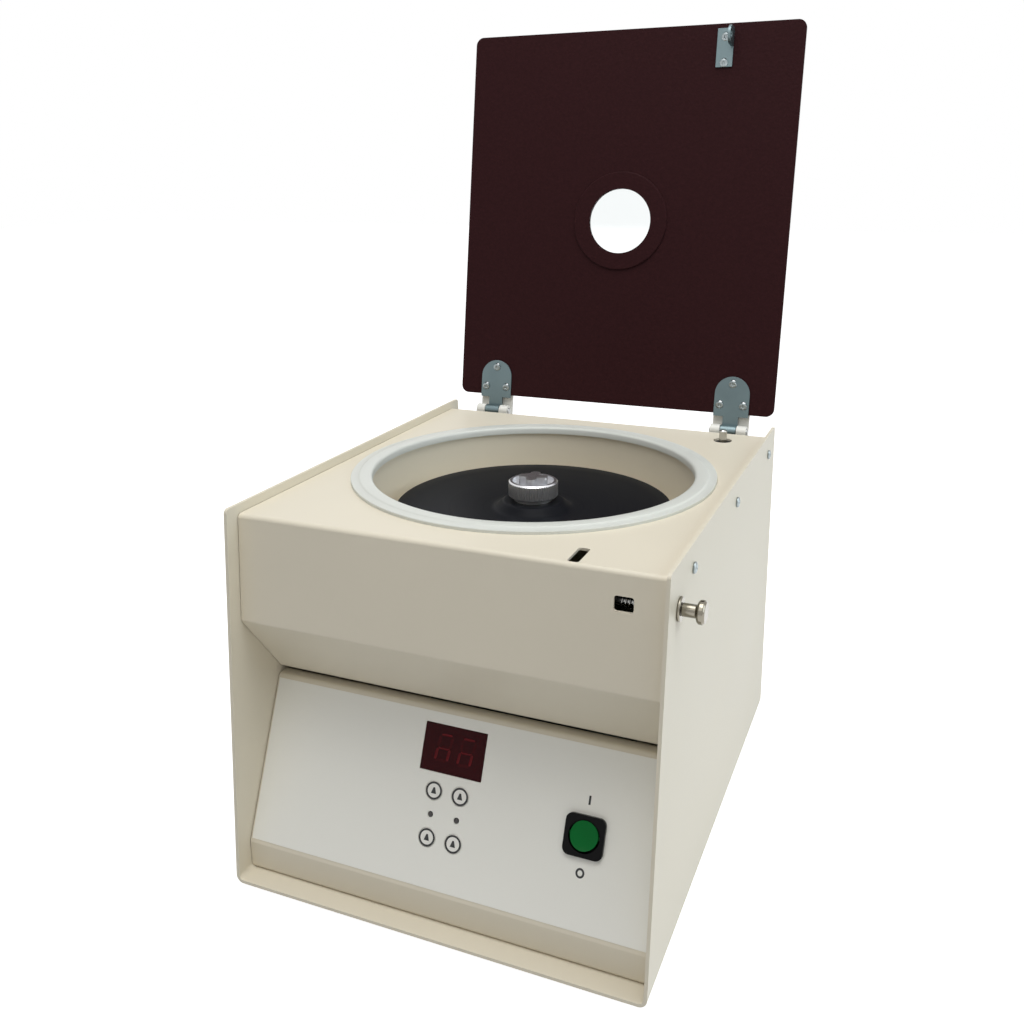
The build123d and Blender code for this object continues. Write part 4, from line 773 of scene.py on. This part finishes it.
# Rear fittings: a three-blade mains inlet and a fuse holder, both moulded black, beside the vents.
# A box mask in the inlet's material tells the plated blades in its socket from the moulding.
box_group, given, made = group(
    "inside_box", (("Centre", "v", (0, 0, 0)), ("Out", "v", (0, 1, 0)), ("Up", "v", (0, 0, 1)),
                   ("Half Size", "v", (1, 1, 1))), (("Mask", "f"),))
place = add(box_group, "ShaderNodeTexCoord")
offset = add(box_group, "ShaderNodeVectorMath", operation="SUBTRACT")
halves = add(box_group, "ShaderNodeSeparateXYZ")
sideways = add(box_group, "ShaderNodeVectorMath", operation="CROSS_PRODUCT")
linked(box_group, (place, "Object", offset, 0), (given, "Centre", offset, 1),
       (given, "Half Size", halves, 0), (given, "Up", sideways, 0), (given, "Out", sideways, 1))
last = None
for teller, direction, half in ((sideways, "Vector", "X"), (given, "Up", "Y"), (given, "Out", "Z")):
    reach = add(box_group, "ShaderNodeVectorMath", operation="DOT_PRODUCT")
    size = add(box_group, "ShaderNodeMath", operation="ABSOLUTE")
    within = add(box_group, "ShaderNodeMath", operation="LESS_THAN")
    linked(box_group, (offset, "Vector", reach, 0), (teller, direction, reach, 1),
           (reach, "Value", size, 0), (size, 0, within, 0), (halves, half, within, 1))
    if last:
        joined = add(box_group, "ShaderNodeMath", operation="MULTIPLY")
        linked(box_group, (last, 0, joined, 0), (within, 0, joined, 1))
        within = joined
    last = within
box_group.links.new(last.outputs[0], made.inputs["Mask"])


def masked(name, first, second, rough_first, rough_second, metal_second, **box):
    """A material of two colours, the second one inside a box, with a fine noise in both."""
    material, tree, shader = bare_material(name)
    inside = tree.nodes.new("ShaderNodeGroup")
    inside.node_tree = box_group
    for label, value in box.items():
        inside.inputs[label.replace("_", " ").title()].default_value = value
    surface = tree.nodes.new("ShaderNodeGroup")
    surface.node_tree = coat_group
    surface.inputs["Peel Scale"].default_value = 1500.0
    surface.inputs["Cloud Depth"].default_value = 0.15
    colour = add(tree, "ShaderNodeMix", data_type="RGBA")
    colour.inputs["A"].default_value = first
    colour.inputs["B"].default_value = second
    rough = add(tree, "ShaderNodeMapRange")
    rough.inputs["To Min"].default_value = rough_first
    rough.inputs["To Max"].default_value = rough_second
    metal = add(tree, "ShaderNodeMath", operation="MULTIPLY")
    metal.inputs[1].default_value = metal_second
    bump = add(tree, "ShaderNodeBump", strength=0.5, distance=0.00001)
    linked(tree, (inside, "Mask", colour, "Factor"), (colour, "Result", surface, "Color"),
           (inside, "Mask", rough, "Value"), (rough, "Result", surface, "Roughness"),
           (inside, "Mask", metal, 0), (metal, 0, shader, "Metallic"),
           (surface, "Color", shader, "Base Color"), (surface, "Roughness", shader, "Roughness"),
           (surface, "Height", bump, "Height"), (bump, "Normal", shader, "Normal"))
    return material


rear_up = Vector((0, -sin(rear_lean), cos(rear_lean)))
socket_face = end_of("mains_inlet", rear_out)
socket_depth = 0.014
socket_floor = 0.0001
blade_room = (0.0112, 0.0072, socket_depth / 2 - socket_floor)
inlet_plastic = masked("inlet_plastic", linear(34, 34, 35), linear(190, 190, 186),
                       rough_first=0.45, rough_second=0.2, metal_second=1.0,
                       centre=socket_face - rear_out * socket_depth / 2, out=rear_out, up=rear_up,
                       half_size=blade_room)
rounded_copy("mains_inlet", inlet_plastic, "base", "black_plastic", edge=0.0003)
rounded_copy("fuse_holder", black_plastic, "base", "black_plastic", edge=0.0003)

# Transformer: a stack of lamination plates with a taped coil round its middle limb.
# A box mask tells the dark varnished plates from the yellow tape.
core_middle = middle("transformer")
core_half = Vector((0.0355, 0.0152, 0.03))
taped = masked("taped_transformer", linear(206, 170, 92), linear(78, 74, 70),
               rough_first=0.4, rough_second=0.5, metal_second=0.6,
               centre=core_middle, out=(0, 0, 1), up=(0, 1, 0), half_size=core_half)
rounded_copy("transformer", taped, "base", "motor_grey", edge=0.0003)
